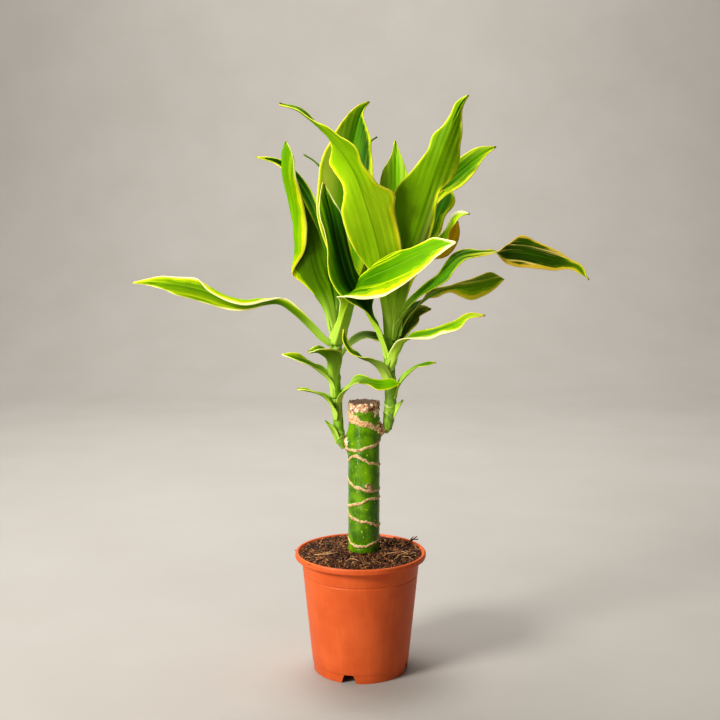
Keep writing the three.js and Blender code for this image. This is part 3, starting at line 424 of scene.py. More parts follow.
# Each leaf, its lists read evenly from base to tip; _left and _right are for one half alone.
# `path` is the midrib, `width` the breadth where the leaf is widest and flat, `shape`, or `left`
# and `right`, the half-breadth as a share of width / 2, and `face` where the upper face looks.
# `fold` is how far a half rises from the midrib and `curl` how much further it turns towards the
# margin, in degrees: over the whole half or, where there is a `crease`, over a short span from
# that share of the half on. `wave` is the ripples' height in mm, their count and their start.
# `band` and `cream` are the breadths of the yellow and cream margins in mm. `upper` and `under`
# are the tones of the two faces, where 0 is deep green and 1 yellow-green. The others go from 0
# to 1: light `stripes`, a `second` yellow line inside the margin, a `pale` or `dull` face, `tan`
# in place of yellow, and `dry`. Each `path`, and most of the `left`, `right` and `width` values,
# were worked out by a program from midribs and outlines drawn over the photograph.
# Some halves have a lighter or darker tone for the light or shade on them, noted at each leaf:
# painted light and painted shade. A `pale` patch is a painted sheen; a `dull` grey-green is partly
# a painted sheen.
LEAVES = {
    "left_far_leaf": dict(
        path=[
            [-25.7, -4, 298.7], [-35.4, -6.5, 306.1], [-45.9, -10, 318.1], [-56.3, -14, 329],
            [-70.2, -17, 338.9], [-85.8, -19, 339.9], [-102.5, -20, 338.2], [-119.1, -20, 341.8],
            [-135.8, -19, 348.7], [-152.9, -16, 353], [-170.3, -12, 355.5], [-187.2, -7, 356.1],
            [-203.2, -3, 356.4],
        ],
        width=24.6,
        left=[
            0.39, 0.41, 0.43, 0.46, 0.5, 0.5, 0.75, 0.81, 0.81, 0.84, 0.82, 0.64, 0.57, 0.32, 0.04,
        ],
        right=[
            0.39, 0.39, 0.41, 0.44, 0.51, 0.5, 0.62, 0.71, 0.83, 1, 0.98, 0.83, 0.43, 0.17, 0.04,
        ],
        face=[[0.4, 0.8, 0.6], [0.2, 0.8, 0.8], [0, 0.9, 0.6], [0, 1, 0.35], [0, 1, 0.2]],
        fold=[30, 20, 10, 4, 4], curl_left=-165, curl_right=0,
        crease_left=[1, 1, 1, 1, 0.95, 0.6, 0.42, 0.4, 0.4, 0.5, 1, 1, 1, 1, 1],
        wave=[1.2, 2.5, 0.1], band_left=[0, 0.2, 2, 4, 4, 2.4, 1.6],
        band_right=[0, 0.1, 1.2, 2, 1.8, 1.4, 1], cream_left=[0, 0.6, 2, 2.4, 1.8, 0.7, 0.3],
        cream_right=[0, 0.3, 1.2, 1.8, 1.6, 0.8, 0.3], upper=0.74,
        under=[0.85, 0.52, 0.5, 0.54, 0.58, 0.56], under_right=[0.8, 0.42, 0.48, 0.56, 0.56, 0.5],
        stripes=0.5,
    ),
    "left_low_leaf": dict(
        path=[
            [-26.7, -5, 259.8], [-29.2, -8, 269.3], [-38, -12, 277.9], [-48.4, -18, 285.8],
            [-58.7, -22, 290.7], [-69.1, -24, 294.5],
        ],
        width=16.8, left=[0.71, 0.62, 0.65, 0.83, 0.97, 1, 0.82, 0.49, 0.07],
        right=[0.9, 0.79, 0.83, 0.76, 0.44, 0.48, 0.77, 0.51, 0.07],
        face=[[1, 0.3, 0], [0.4, -0.5, 1], [0.1, -0.8, 0.8]], fold=[40, 35, 25],
        wave=[0.7, 1.5, 0.2], band=[0.2, 0.6, 1.2, 1.6], cream_left=[0, 0, 0.3, 0.6],
        upper=[0.7, 0.5, 0.52, 0.78], dull=[0, 0.25, 0.3, 0.1], under=[0.8, 0.6, 0.6, 0.7],
        stripes=0.4,
    ),
    "left_lower_leaf": dict(
        path=[
            [-24.1, -4, 232.3], [-25.8, -6, 242.7], [-30.2, -8, 251.2], [-37.3, -11, 257.1],
            [-47, -13, 260.5], [-56.7, -14, 262],
        ],
        width=15.2, left=[0.46, 0.74, 0.45, 0.58, 0.66, 0.58, 0.36, 0.03],
        right=[0.6, 0.52, 1, 0.77, 0.4, 0.2, 0.43, 0.08],
        face=[[1, 0.3, 0], [0.3, -0.2, 1], [0.1, -0.2, 1]], fold=[40, 30, 20], wave=[0.3, 1.5, 0.2],
        band=[0, 0.2, 0.4], upper=[0.66, 0.52, 0.6], under=[0.7, 0.5, 0.5],
    ),
    "left_scale_leaf": dict(
        path=[[-19, 0, 210], [-24, -6, 223], [-32, -9, 233]], width=8, shape=[1, 0.85, 0.6, 0.08],
        face=[[-0.6, -0.7, 0.3], [-0.3, -0.8, 0.5]], fold=[20, 15, 15], wave=[0, 1, 0], band=0,
        upper=0.8,
    ),
    "left_curled_leaf": dict(
        path=[[-24, -7, 253], [-25, -10, 270], [-28, -15, 286], [-36, -24, 295], [-46, -28, 297]],
        width=30, shape=[0.5, 0.54, 0.8, 1, 0.75, 0.1],
        face=[[0, 1, 0], [0.1, 1, 0.2], [0.4, 0.4, 0.8], [0.4, -0.3, 1]], fold=[35, 35, 35, 20],
        curl=[60, 50, 30, 0], wave=[1, 1.5, 0.2], band=[0, 0.3, 1.1, 1.5], cream=[0, 0, 0, 0.7],
        upper=[0.6, 0.6, 0.7, 0.85], under=[0.85, 0.7, 0.4, 0.5], stripes=0.5,
    ),
    "left_inner_leaf": dict(
        path=[
            [-17.7, -5, 248.9], [-15.8, -7, 256.5], [-10.4, -10, 263.3], [-5, -13, 269.5],
            [1.2, -15, 271.6], [9.2, -17, 268.3], [19, -18, 267.1], [27, -19, 268.1],
            [35, -19, 267.2],
        ],
        width=17.1, left=[0.68, 0.95, 0.59, 0.37, 0.58, 0.41, 0.49, 0.53, 0.56, 0.51, 0.06],
        right=[0.68, 0.74, 0.73, 0.95, 1, 0.96, 0.48, 0.83, 0.78, 0.63, 0.06],
        face=[[-1, 0.3, 0.3], [-0.4, -0.4, 1], [0, -0.8, 0.7], [0, -0.8, 0.7]], fold=[30, 10, 5],
        wave=[0.7, 1.5, 0], band=[0.1, 0.4, 0.7, 0.7], upper=[0.5, 0.25, 0.5, 0.62, 0.75],
        stripes=0.2,
    ),
    # Its upper face is near black-green: painted shade where it lies behind the tuft.
    "left_back_inner_leaf": dict(
        path=[[-19, 3, 287], [-11, 9, 298], [2, 16, 306], [16, 20, 305], [29, 22, 301]], width=14,
        shape=[0.5, 0.5, 0.9, 1, 0.8, 0.05],
        face=[[-1, -0.3, 0.3], [-0.4, -0.6, 1], [0, -0.8, 0.7]], fold=[20, 15, 10],
        wave=[0.5, 1.5, 0], band_left=0.3, band_right=[0.3, 1, 1.4, 1.4], tan=0.3,
        upper=[0.3, 0.06, 0.04, 0.1], under=0.2, stripes=0.1,
    ),
    # Its under tone is darkest in the middle: painted shade under the half that folds over.
    "left_folded_leaf": dict(
        path=[
            [-24.7, -5, 305.1], [-26.4, -8, 318.8], [-28.9, -12, 334.2], [-34.1, -14, 348.5],
            [-39.3, -16, 359.1], [-43.5, -17.5, 372.3], [-46.9, -19, 389.8], [-50.2, -20.5, 407.1],
            [-55.2, -22, 426], [-60.1, -24, 445.6], [-63.3, -25.5, 462.5], [-64, -26, 478.6],
        ],
        width=47.4,
        left=[
            0.19, 0.2, 0.23, 0.25, 0.28, 0.33, 0.41, 0.5, 0.57, 0.6, 0.6, 0.58, 0.53, 0.46, 0.39,
            0.32, 0.27, 0.24, 0.22, 0.2, 0.17, 0.12, 0.03,
        ],
        right=[
            0.19, 0.2, 0.22, 0.23, 0.27, 0.34, 0.4, 0.56, 0.82, 0.97, 0.99, 1, 0.99, 0.97, 0.95,
            0.91, 0.88, 0.85, 0.82, 0.8, 0.75, 0.56, 0.03,
        ],
        face=[[0.5, 0.8, 0], [0.3, 1, 0], [0, 1, 0], [-0.1, 1, 0], [0, 1, 0]],
        fold=[25, 15, 6, 0, 0], curl_left=[40, 20, 20, 20, 10], curl_right=-172,
        crease_right=[
            1, 1, 1, 1, 1, 1, 1, 1, 0.9, 0.65, 0.47, 0.38, 0.34, 0.3, 0.28, 0.26, 0.25, 0.25, 0.26,
            0.24, 0.2, 0.2, 0.2,
        ],
        wave=[1.2, 2.5, 0], band_left=[0, 0, 0.2, 0.8, 0.6],
        band_right=[0, 0, 0.2, 4.5, 6, 5.5, 4.5, 1.5, 0.8],
        cream_right=[0, 0, 0, 0, 0, 0.2, 0.4, 1.6, 0.6], upper=[0.6, 0.6, 0.62, 0.62, 0.58],
        upper_right=[0.6, 0.7, 0.75, 0.75, 0.6], under=[0.8, 0.5, 0.3, 0.26, 0.26, 0.3],
        under_left=[0.85, 0.7, 0.45, 0.3, 0.3, 0.34], stripes=[0.1, 0, 0.1, 0.4, 0.4],
    ),
    "left_thin_leaf": dict(
        path=[
            [-21.4, 5, 308.7], [-23.3, 14, 335.3], [-27.1, 23, 362.2], [-31.9, 31, 386.8],
            [-38.5, 39, 409.7], [-46.1, 45, 429.2], [-54.6, 49, 444.1], [-64, 52, 455.3],
            [-72.5, 54, 462.8], [-82.7, 54, 467.4], [-97.6, 54, 471.1],
        ],
        width=16.2, left=[1, 0.96, 0.84, 0.8, 0.75, 0.69, 0.82, 0.96, 0.99, 0.76, 0.64, 0.17, 0.05],
        right=[0.45, 0.51, 0.62, 0.62, 0.61, 0.53, 0.44, 0.48, 0.59, 0.68, 0.66, 0.45, 0.07],
        face=[[0.4, -0.9, 0], [0.4, -0.9, 0], [0.3, -0.9, 0.2], [0.3, -0.9, 0.2]],
        fold=[25, 15, 15, 20], wave=[1.5, 3, 0], band_left=[0.4, 0.6, 0.8, 1.2, 1, 0.8],
        band_right=[0.3, 0.5, 0.7, 0.6, 0.5], upper=[0.6, 0.6, 0.66, 0.6, 0.2, 0.12, 0.25],
        dull=[0, 0, 0.3, 0.4, 0.1, 0, 0], under=0.3, stripes=0.2,
    ),
    # Its left half is lighter and its right half darker: painted light on the half facing the lamp,
    # painted shade on the one turned away. Its `pale` patch is a painted sheen.
    "left_back_leaf": dict(
        path=[
            [-17.7, 3, 306.1], [-15, 8, 323.9], [-12.8, 13, 341.7], [-13.3, 19, 359.6],
            [-14.3, 27, 380.4], [-15.3, 35, 403.3], [-14.5, 43, 426.4], [-11.7, 49, 447.7],
            [-9, 54, 468.3], [-6.2, 58, 485.2], [-3.4, 61, 498.4], [-0.6, 63, 508.7],
            [3.2, 64, 517.1], [7.9, 64, 523.1],
        ],
        width=61.8,
        left=[
            0.15, 0.16, 0.19, 0.22, 0.28, 0.32, 0.45, 0.59, 0.73, 0.86, 0.92, 0.95, 0.98, 1, 0.94,
            0.79, 0.65, 0.48, 0.28, 0.03,
        ],
        right=[
            0.17, 0.12, 0.14, 0.17, 0.33, 0.49, 0.63, 0.78, 0.87, 0.93, 0.95, 0.95, 0.89, 0.78,
            0.72, 0.63, 0.54, 0.3, 0.06, 0.03,
        ],
        face=[[0.1, -1, 0], [0.1, -1, 0.1], [0, -1, 0.3]], fold=[25, 18, 14, 22, 30],
        curl=[20, 10, 10, 0], wave=[1.5, 2.5, 0.3], band_left=[0, 0.4, 2, 3, 2.2, 1.2],
        band_right=[0.2, 0.6, 1.6, 2.4, 2.2, 1.2], cream_left=[0, 0, 0.2, 0.3, 0, 0],
        upper=[0.6, 0.6, 0.6, 0.6, 0.55, 0.5], upper_left=[0.6, 0.7, 0.8, 0.85, 0.8, 0.7],
        upper_right=[0.7, 0.7, 0.66, 0.3, 0.24, 0.26], pale_left=[0, 0.5, 1, 1, 0.4, 0], under=0.5,
        stripes=[0.5, 0.6, 0.5, 0.3, 0.3],
    ),
    "left_needle_leaf": dict(
        path=[
            [-18, 8, 310], [-16, 23, 348], [-18, 41, 389], [-23, 55, 424], [-32, 64, 452],
            [-42, 69, 467], [-54, 71, 475],
        ],
        width=28, shape=[0.35, 0.32, 0.5, 0.9, 1, 0.6, 0.2, 0.07, 0.03],
        face=[[0.2, -1, 0], [0.2, -1, 0], [0.1, -1, 0.4]], fold=15, wave=[0, 3, 0], band=0.1,
        upper=0.42, under=0.4, stripes=0.1,
    ),
    "left_rear_leaf": dict(
        path=[
            [-16, 8, 306], [-13, 14, 323], [-8, 26, 341], [-1, 45, 374], [1, 63, 408], [2, 75, 437],
            [5, 83, 466], [9, 87, 487], [16, 88, 493],
        ],
        width=33, shape=[0.2, 0.22, 0.3, 0.5, 0.9, 1, 0.75, 0.3, 0.1, 0.03],
        face=[[0, -1, 0], [0, -1, 0], [0, -1, 0.4]], fold=15, wave=[0.3, 3, 0.4], band=0.1,
        upper=0.76, under=0.35, stripes=0.6,
    ),
    "left_front_leaf": dict(
        path=[
            [-22.9, -6, 300.7], [-20.2, -8, 309.8], [-16.5, -10, 321.6], [-12.9, -13, 333.4],
            [-8.4, -18, 343.4], [-4, -23, 351.6], [2.1, -29, 358.3], [10.7, -38, 363.4],
            [26.5, -52, 370.6], [45.2, -66, 380.1], [62.7, -77, 386.8], [77.4, -86, 392.6],
        ],
        width=46.8,
        left=[
            0.51, 0.54, 0.61, 0.69, 0.79, 0.71, 0.58, 0.54, 0.5, 0.57, 0.58, 0.5, 0.42, 0.45, 0.49,
            0.28, 0.03,
        ],
        right=[
            0.33, 0.3, 0.22, 0.24, 0.41, 0.92, 1, 0.98, 0.94, 0.98, 0.93, 0.82, 0.69, 0.56, 0.29,
            0.15, 0.03,
        ],
        face=[
            [-0.2, 1, 0.2], [-0.4, 0.9, 0.3], [-0.6, 0.5, 0.5], [-0.5, -0.4, 0.8],
            [-0.2, -0.85, 0.5], [-0.1, -0.9, 0.5], [0, -0.9, 0.4], [0.1, -0.9, 0.4],
            [0.1, -0.9, 0.4],
        ],
        fold=[10, 12, 14, 8, 0, 0, 0, 0, 0], curl=[60, 40, 10, 0, 0, 0, 0, 0], wave=[1, 2.5, 0.1],
        band_left=[0, 0, 0.3, 0.8, 0.8, 1.2, 2.4], band_right=[0, 0, 1.6, 6, 7, 6, 5, 5],
        cream_left=[0, 0, 0, 0, 0, 0.4, 3], cream_right=[0, 0, 2.2, 3.4, 2.8, 1.6, 2.2, 5],
        upper=[0.7, 0.62, 0.46, 0.48, 0.58, 0.68, 0.76],
        upper_right=[0.7, 0.7, 0.54, 0.6, 0.7, 0.76, 0.82], under=[0.95, 0.85, 0.72, 0.5, 0.5],
        stripes=[0.2, 0.5, 0.9, 0.7, 0.5],
    ),
    # The cream near its tip is a painted highlight along its edges.
    "right_dark_leaf": dict(
        path=[
            [22.7, -8, 288.3], [20, -9.5, 298.3], [16.4, -11, 307.4], [12.8, -12.5, 315.6],
            [8.3, -13.5, 323.7], [4.3, -14.5, 331.7], [-0.5, -15, 340.2], [-5.8, -15.5, 349.4],
            [-11.1, -16, 358.3], [-15.4, -18, 373.2], [-19.7, -20, 388.9], [-23.1, -23, 404.5],
            [-26.5, -25, 419.9], [-29.9, -26, 432.7], [-32.4, -26, 443.8],
        ],
        width=40.1,
        left=[
            0.19, 0.2, 0.26, 0.44, 0.48, 0.61, 0.92, 0.97, 0.97, 1, 0.9, 0.71, 0.6, 0.57, 0.62,
            0.53, 0.3, 0.03,
        ],
        right=[
            0.42, 0.38, 0.42, 0.55, 0.4, 0.49, 0.89, 0.68, 0.61, 0.53, 0.52, 0.53, 0.52, 0.49, 0.47,
            0.32, 0.19, 0.03,
        ],
        face=[
            [0.6, 0.6, 0.3], [0.6, -0.2, 0.4], [0.4, -0.9, 0.2], [0.3, -0.9, 0.2], [0.2, -0.9, 0.2],
        ],
        fold=[30, 25, 20, 20], wave=[1, 2.5, 0], band_left=[0, 0, 0.3, 0.5, 0.6, 0.6, 0.9, 0.9],
        band_right=[0, 0.2, 0.4, 0.6, 0.8, 0.9, 1, 0.9], cream_left=[0, 0, 0, 0, 0, 0, 0.6, 1, 0.3],
        cream_right=[0, 0, 0, 0, 0, 0, 1.1, 1.4, 0.3],
        upper=[0.7, 0.5, 0.2, 0.08, 0.05, 0.1, 0.26, 0.4],
        upper_left=[0.7, 0.55, 0.58, 0.68, 0.78, 0.82, 0.78, 0.66],
        upper_right=[0.7, 0.5, 0.3, 0.12, 0.06, 0.1, 0.3, 0.5], under=[0.95, 0.85, 0.6, 0.4],
        stripes=[0.5, 0.3, 0.1, 0.05, 0.1],
    ),
    # The middle of its left half is lighter underneath: painted light on the half turned from the
    # lamp.
    "right_great_leaf": dict(
        path=[
            [25.4, -7, 307.1], [25.2, -13, 332.5], [22.3, -20, 354.9], [17.7, -28, 376.9],
            [13.2, -36, 395.9], [8, -44, 413.5], [2, -51, 431.7], [-3.8, -56, 447.2],
            [-11.3, -60, 460.9], [-20.3, -62, 472.9], [-31.8, -62, 483.5], [-43.4, -60, 494.2],
            [-53.4, -57, 501.8], [-67.7, -54, 506.2],
        ],
        width=51.9,
        left=[
            0.24, 0.26, 0.3, 0.37, 0.48, 0.6, 0.71, 0.77, 0.8, 0.81, 0.86, 1, 0.61, 0.46, 0.42,
            0.59, 0.37, 0.29, 0.15, 0.12, 0.07, 0.03,
        ],
        right=[
            0.22, 0.24, 0.26, 0.29, 0.32, 0.39, 0.52, 0.7, 0.82, 0.88, 0.88, 0.83, 0.61, 0.56, 0.75,
            0.97, 0.53, 0.38, 0.17, 0.17, 0.15, 0.03,
        ],
        face=[
            [0, 1, 0], [0, 1, 0], [0, 1, 0], [0, 1, 0], [0.1, 1, 0], [0.5, 0.6, 0.7], [0.6, 0, 1],
            [0, -0.5, 1],
        ],
        fold=[30, 12, 2, 3, 16, 20], curl=[20, 2, 2, 0], wave=[1.6, 3, 0.2],
        band_left=[0, 0.3, 1.6, 5, 5, 2.6, 0.9, 0.4, 0.3],
        band_right=[0, 0.3, 0.8, 1.3, 1.6, 3.4, 3.2, 0.6, 0.3],
        under=[1, 0.74, 0.78, 0.86, 0.82, 0.68, 0.54, 0.5],
        under_left=[1, 0.74, 0.84, 1, 0.94, 0.66, 0.42, 0.46],
        under_right=[1, 0.74, 0.76, 0.86, 0.84, 0.78, 0.66, 0.5], upper=0.35, stripes=0.15,
    ),
    "right_rear_leaf": dict(
        path=[
            [25.7, 6, 307.7], [27.8, 17, 339.7], [29.8, 29, 371.2], [31.9, 40, 398.7],
            [33.1, 49, 421.9], [33.2, 56, 440.7], [33.3, 61, 457.7], [33, 66, 473.8],
            [32.5, 69, 488],
        ],
        width=32.1, left=[0.24, 0.26, 0.27, 0.3, 0.38, 0.47, 0.6, 0.72, 0.89, 1, 0.83, 0.3, 0.03],
        right=[0.24, 0.27, 0.3, 0.35, 0.44, 0.52, 0.61, 0.73, 0.86, 0.9, 0.67, 0.34, 0.04],
        face=[[0, -1, 0], [0, -1, 0], [0, -1, 0.3]], fold=[20, 15, 20], wave=[1.5, 3, 0.1],
        band=0.4, upper=[0.6, 0.6, 0.66, 0.74, 0.7], pale=[0, 0, 0.1, 0.45, 0.1], under=0.6,
        stripes=0.15,
    ),
    # Its left half is darker and greyer underneath: painted shade and a painted sheen where it
    # tilts.
    "right_tall_leaf": dict(
        path=[
            [27.2, -7, 305.3], [30.5, -12, 332.4], [35.5, -17, 357.4], [41.3, -22, 381.1],
            [47.9, -27, 402.7], [54.5, -31, 423.2], [60.2, -34, 441.7], [65.8, -37, 458.4],
            [70.7, -38, 472.5], [75.7, -38, 485.8], [79.8, -38, 496.6], [84, -37, 505.9],
            [91, -34, 516.2],
        ],
        width=56.4,
        left=[
            0.22, 0.22, 0.24, 0.29, 0.33, 0.35, 0.38, 0.43, 0.47, 0.5, 0.48, 0.44, 0.36, 0.33, 0.52,
            0.61, 0.6, 0.49, 0.4, 0.24, 0.09, 0.03,
        ],
        right=[
            0.19, 0.19, 0.17, 0.19, 0.22, 0.27, 0.34, 0.44, 0.57, 0.72, 0.86, 0.97, 1, 0.86, 0.68,
            0.55, 0.44, 0.46, 0.27, 0.18, 0.19, 0.03,
        ],
        face=[[0, 1, 0], [0, 1, 0], [0, 1, 0], [-0.1, 1, 0.1]], fold=[30, 13, 4, 4, 12, 28],
        curl=[20, 10, 10, 0], wave=[1.6, 3, 0.4], band_left=[0.4, 1, 1.8, 2.2, 2.2, 2, 1.4],
        band_right=[0.4, 0.8, 1.1, 1.3, 1.3, 1.2, 1], under=[1, 0.68, 0.56, 0.58, 0.6, 0.58, 0.52],
        under_right=[1, 0.68, 0.58, 0.6, 0.6, 0.6, 0.68],
        under_left=[0.9, 0.6, 0.48, 0.54, 0.64, 0.58, 0.15],
        dull_left=[0, 0.3, 0.7, 0.55, 0.1, 0, 0], upper=0.6, stripes=0.1,
    ),
    "right_side_leaf": dict(
        path=[
            [31.9, 2, 306.2], [35.8, 12, 335.4], [41.4, 18, 365.1], [48.7, 23, 394.1],
            [59.8, 28, 421.4], [72.7, 31, 438.7], [86.6, 34, 451.5], [100.5, 37, 463.5],
            [112.4, 38, 472.6], [124.3, 38, 479.4],
        ],
        width=27,
        left=[0.2, 0.23, 0.27, 0.33, 0.41, 0.46, 0.54, 0.65, 0.76, 0.93, 1, 0.83, 0.64, 0.04],
        right=[0.27, 0.32, 0.34, 0.43, 0.49, 0.58, 0.62, 0.62, 0.49, 0.64, 0.95, 0.78, 0.35, 0.04],
        face=[[-0.3, -0.9, 0.2], [-0.3, -0.9, 0.2], [-0.3, -0.9, 0.2]], fold=[25, 15, 10, 15],
        wave=[1, 2.5, 0], band_left=[0.2, 0.5, 0.9, 1, 1],
        band_right=[0.2, 1, 2, 2.6, 3.4, 3.4, 2.2, 1], second=[0, 0, 0.4, 1, 0.8, 0, 0],
        upper=[0.6, 0.42, 0.36, 0.38, 0.44, 0.76], pale=[0, 0, 0, 0, 0, 0.6], stripes=0.35,
    ),
    "right_under_leaf": dict(
        path=[
            [33, 6, 306.8], [36.1, 20, 334.9], [41.9, 30, 362], [52.3, 38, 384.9], [63.8, 46, 407],
            [73.4, 52, 429.4], [81, 56, 448.1], [85.8, 58, 461.2],
        ],
        width=32.8, left=[0.17, 0.16, 0.17, 0.19, 0.27, 0.39, 0.51, 0.61, 0.66, 0.65, 0.49, 0.04],
        right=[0.3, 0.3, 0.28, 0.36, 0.4, 0.46, 0.67, 0.85, 0.75, 1, 0.33, 0.04],
        face=[[-0.3, -0.9, 0.2], [-0.3, -0.9, 0.2], [-0.3, -0.9, 0.2]], fold=[25, 15, 10, 15],
        wave=[1, 2.5, 0], band_left=[0.1, 0.5, 0.6], band_right=[0.2, 1, 2.8, 3.2, 3, 2],
        upper=[0.6, 0.36, 0.28, 0.26, 0.3], upper_right=[0.6, 0.45, 0.42, 0.4, 0.4], stripes=0.2,
    ),
    "right_bright_leaf": dict(
        path=[
            [33.6, -2, 308.4], [36.4, 3, 336], [45.3, 5, 361], [59.4, 2, 379], [72.1, -6, 395.9],
            [76.8, -12, 405.5], [81.7, -16, 413.2], [87.5, -19, 417.1], [95.2, -20, 417.1],
        ],
        width=16, left=[0.45, 0.3, 0.21, 0.17, 0.26, 0.31, 0.46, 0.45, 0.52, 0.24, 0.51, 0.06],
        right=[0.46, 0.5, 0.47, 0.54, 0.51, 0.54, 0.55, 0.73, 1, 0.5, 0.9, 0.07],
        face=[[-0.3, -0.8, 0.2], [-0.3, -0.8, 0.2], [0, -0.6, 0.8]], fold=[25, 15, 10, 15],
        wave=[0.6, 1.5, 0], band_left=0.6, band_right=0.8, cream_left=[0, 0, 0, 0, 0.4, 3, 3],
        upper=[0.7, 0.8, 0.86, 0.9, 0.9], stripes=0.3,
    ),
    "right_brown_leaf": dict(
        path=[
            [34.6, 2, 309.8], [35.7, 8, 331.1], [39.3, 11, 348.2], [45.7, 12, 362.6],
            [54.6, 11, 371.6], [64.4, 9, 378.4], [72.2, 6, 383.8], [79.2, 4, 391.4], [84, 4, 401.2],
            [86.6, 5, 411.4],
        ],
        width=15.3,
        left=[0.35, 0.33, 0.35, 0.3, 0.36, 0.35, 0.36, 0.45, 0.6, 0.74, 0.63, 0.58, 0.08],
        right=[0.49, 0.5, 0.46, 0.54, 0.53, 0.52, 0.57, 0.49, 0.39, 0.99, 1, 0.71, 0.08],
        face=[[-0.3, -0.8, 0.2], [-0.3, -0.8, 0.2], [-0.3, -0.8, 0.2]], fold=[25, 15, 10, 15],
        wave=[0.6, 1.5, 0], band_left=1.2, band_right=0.5, cream_left=[0, 0, 0, 0.6, 1.8, 1.6],
        tan=0.7, upper=0.7, dry=[0.3, 0.8, 1, 1, 1], stripes=0.8,
    ),
    "right_far_leaf": dict(
        path=[
            [30.9, -3, 308.5], [40.6, -5, 331.1], [53, -5, 346.3], [65.4, -5, 357.8],
            [76, -4, 369.3], [88.6, -2, 379.9], [103.9, 0, 383], [119.3, 2, 383.4],
            [132.1, 4, 383.9], [146.8, 6, 383], [161.2, 6, 379.8], [174.7, 6, 376.2],
            [186.3, 5, 372.2], [195.2, 4, 369.1], [205.5, 3, 358.9],
        ],
        width=31.4,
        left=[
            0.42, 0.42, 0.55, 0.43, 0.34, 0.3, 0.13, 0.32, 0.42, 0.37, 0.22, 0.48, 0.74, 0.88, 0.81,
            0.7, 0.59, 0.26, 0.23, 0.04,
        ],
        right=[
            0.42, 0.46, 0.42, 0.45, 0.53, 0.83, 1, 0.65, 0.55, 0.38, 0.3, 0.36, 0.42, 0.98, 0.79,
            0.66, 0.52, 0.33, 0.25, 0.04,
        ],
        face=[
            [-0.6, 0.3, 0.6], [-0.5, 0, 0.8], [-0.4, -0.3, 1], [-0.4, -0.5, 0.9], [-0.4, -0.6, 0.8],
            [-0.3, -0.7, 0.7], [-0.2, -0.7, 0.7], [0, -0.7, 0.7], [0, -0.15, 1], [0, 1, 0.1],
            [0, 1, 0], [0, 1, 0], [0, 1, 0.1], [0, 1, 0.3], [0, -0.3, 1],
        ],
        fold=[30, 20, 10, 5, 10, 0, 0], wave=[0.8, 2.5, 0],
        band_left=[0, 0.4, 0.8, 1, 1.2, 3.6, 4, 3, 1],
        band_right=[0, 0.4, 0.8, 1, 1.2, 1.8, 2, 1.6, 1], upper=[0.7, 0.5, 0.46, 0.5, 0.5, 0.4],
        upper_right=[0.7, 0.55, 0.5, 0.2, 0.15, 0.3, 0.4],
        under=[0.6, 0.5, 0.4, 0.2, 0.14, 0.16, 0.5],
        under_right=[0.6, 0.5, 0.4, 0.3, 0.24, 0.24, 0.6], stripes=[0.2, 0.3, 0.4, 0.9, 1, 1, 0.3],
        tan=[0, 0, 0, 0, 0.6, 0.85, 0.8, 0.3],
    ),
    # Its right half's grey-olive `dull_right` is a painted sheen.
    "right_olive_leaf": dict(
        path=[
            [32, 2, 299], [40.1, 5, 321.4], [50.2, 8, 332.9], [61.1, 11, 341.8], [72.2, 14, 348],
            [83.3, 16, 350.7], [95.3, 18, 351.5], [109.3, 21, 353.2], [121.4, 23, 355.8],
            [131.7, 25, 358.5],
        ],
        width=26.3,
        left=[0.36, 0.34, 0.32, 0.38, 0.74, 0.55, 0.71, 0.31, 0.66, 1, 0.83, 0.54, 0.04],
        right=[0.64, 0.6, 0.57, 0.54, 0.52, 0.78, 0.4, 0.28, 0.43, 0.54, 0.7, 0.73, 0.04],
        face=[[-0.6, -0.2, 0.6], [-0.4, -0.3, 1], [0, 0.6, 0.8], [0, 1, 0.2], [0, 1, 0.2]],
        fold=[30, 20, 10, 0, 0], wave=[0.8, 2, 0], band_left=[0, 0.6, 3, 5.5, 5, 2],
        band_right=[0, 0.4, 0.8, 0.9, 0.9], under=[0.55, 0.58, 0.6, 0.56, 0.5],
        under_right=[0.55, 0.62, 0.64, 0.6, 0.55], dull_right=[0, 0.3, 0.8, 0.85, 0.5, 0.2],
        stripes=[0.2, 0.4, 0.6, 0.7, 0.5], tan=[0, 0.3, 0.4, 0.35, 0.35], upper=0.3,
    ),
    "right_front_leaf": dict(
        path=[
            [25.5, -6, 276.3], [29.9, -9, 286.6], [34.2, -13, 296], [37.5, -17, 303.5],
            [43.5, -21, 308.3], [53.8, -25, 310.9], [67.5, -30, 315.7], [81.9, -34, 321.3],
            [94.4, -38, 329.4], [106.9, -42, 330.1],
        ],
        width=18,
        left=[0.4, 0.52, 0.2, 0.3, 0.69, 0.75, 0.65, 0.47, 0.41, 0.46, 0.39, 0.37, 0.21, 0.07],
        right=[0.6, 0.77, 0.85, 0.9, 1, 1, 1, 1, 0.65, 0.67, 0.71, 0.33, 0.32, 0.07],
        face=[
            [-0.3, 1, 0.2], [-0.4, 1, 0.2], [-0.6, 0.5, 0.5], [-0.3, -0.4, 1], [0, -0.8, 0.6],
            [0, -0.85, 0.5], [0, -0.85, 0.5], [0, -0.8, 0.6],
        ],
        fold=[25, 15, 10], wave=[0.6, 1.5, 0], band_left=[0, 0.1, 0.6, 1.2, 1, 0.8],
        band_right=[0, 0, 1.4, 5, 5.4, 4, 2.4, 1.4, 0.6],
        cream_right=[0, 0, 2.2, 5.2, 5.4, 3.6, 1.2, 0.4, 0],
        upper=[0.7, 0.58, 0.54, 0.62, 0.78, 0.84], under=[0.95, 0.85, 0.7, 0.5],
        tan=[0, 0, 0, 0, 0, 0.8], stripes=[0.1, 0.4, 0.8, 0.7, 0.5],
    ),
    "right_short_leaf": dict(
        path=[
            [27.4, -4, 276], [32.8, -2, 291.2], [39.2, 2, 304.4], [44.8, 7, 315.8],
            [49.5, 12, 324.5], [56, 15, 330.7], [64.4, 18, 331.4],
        ],
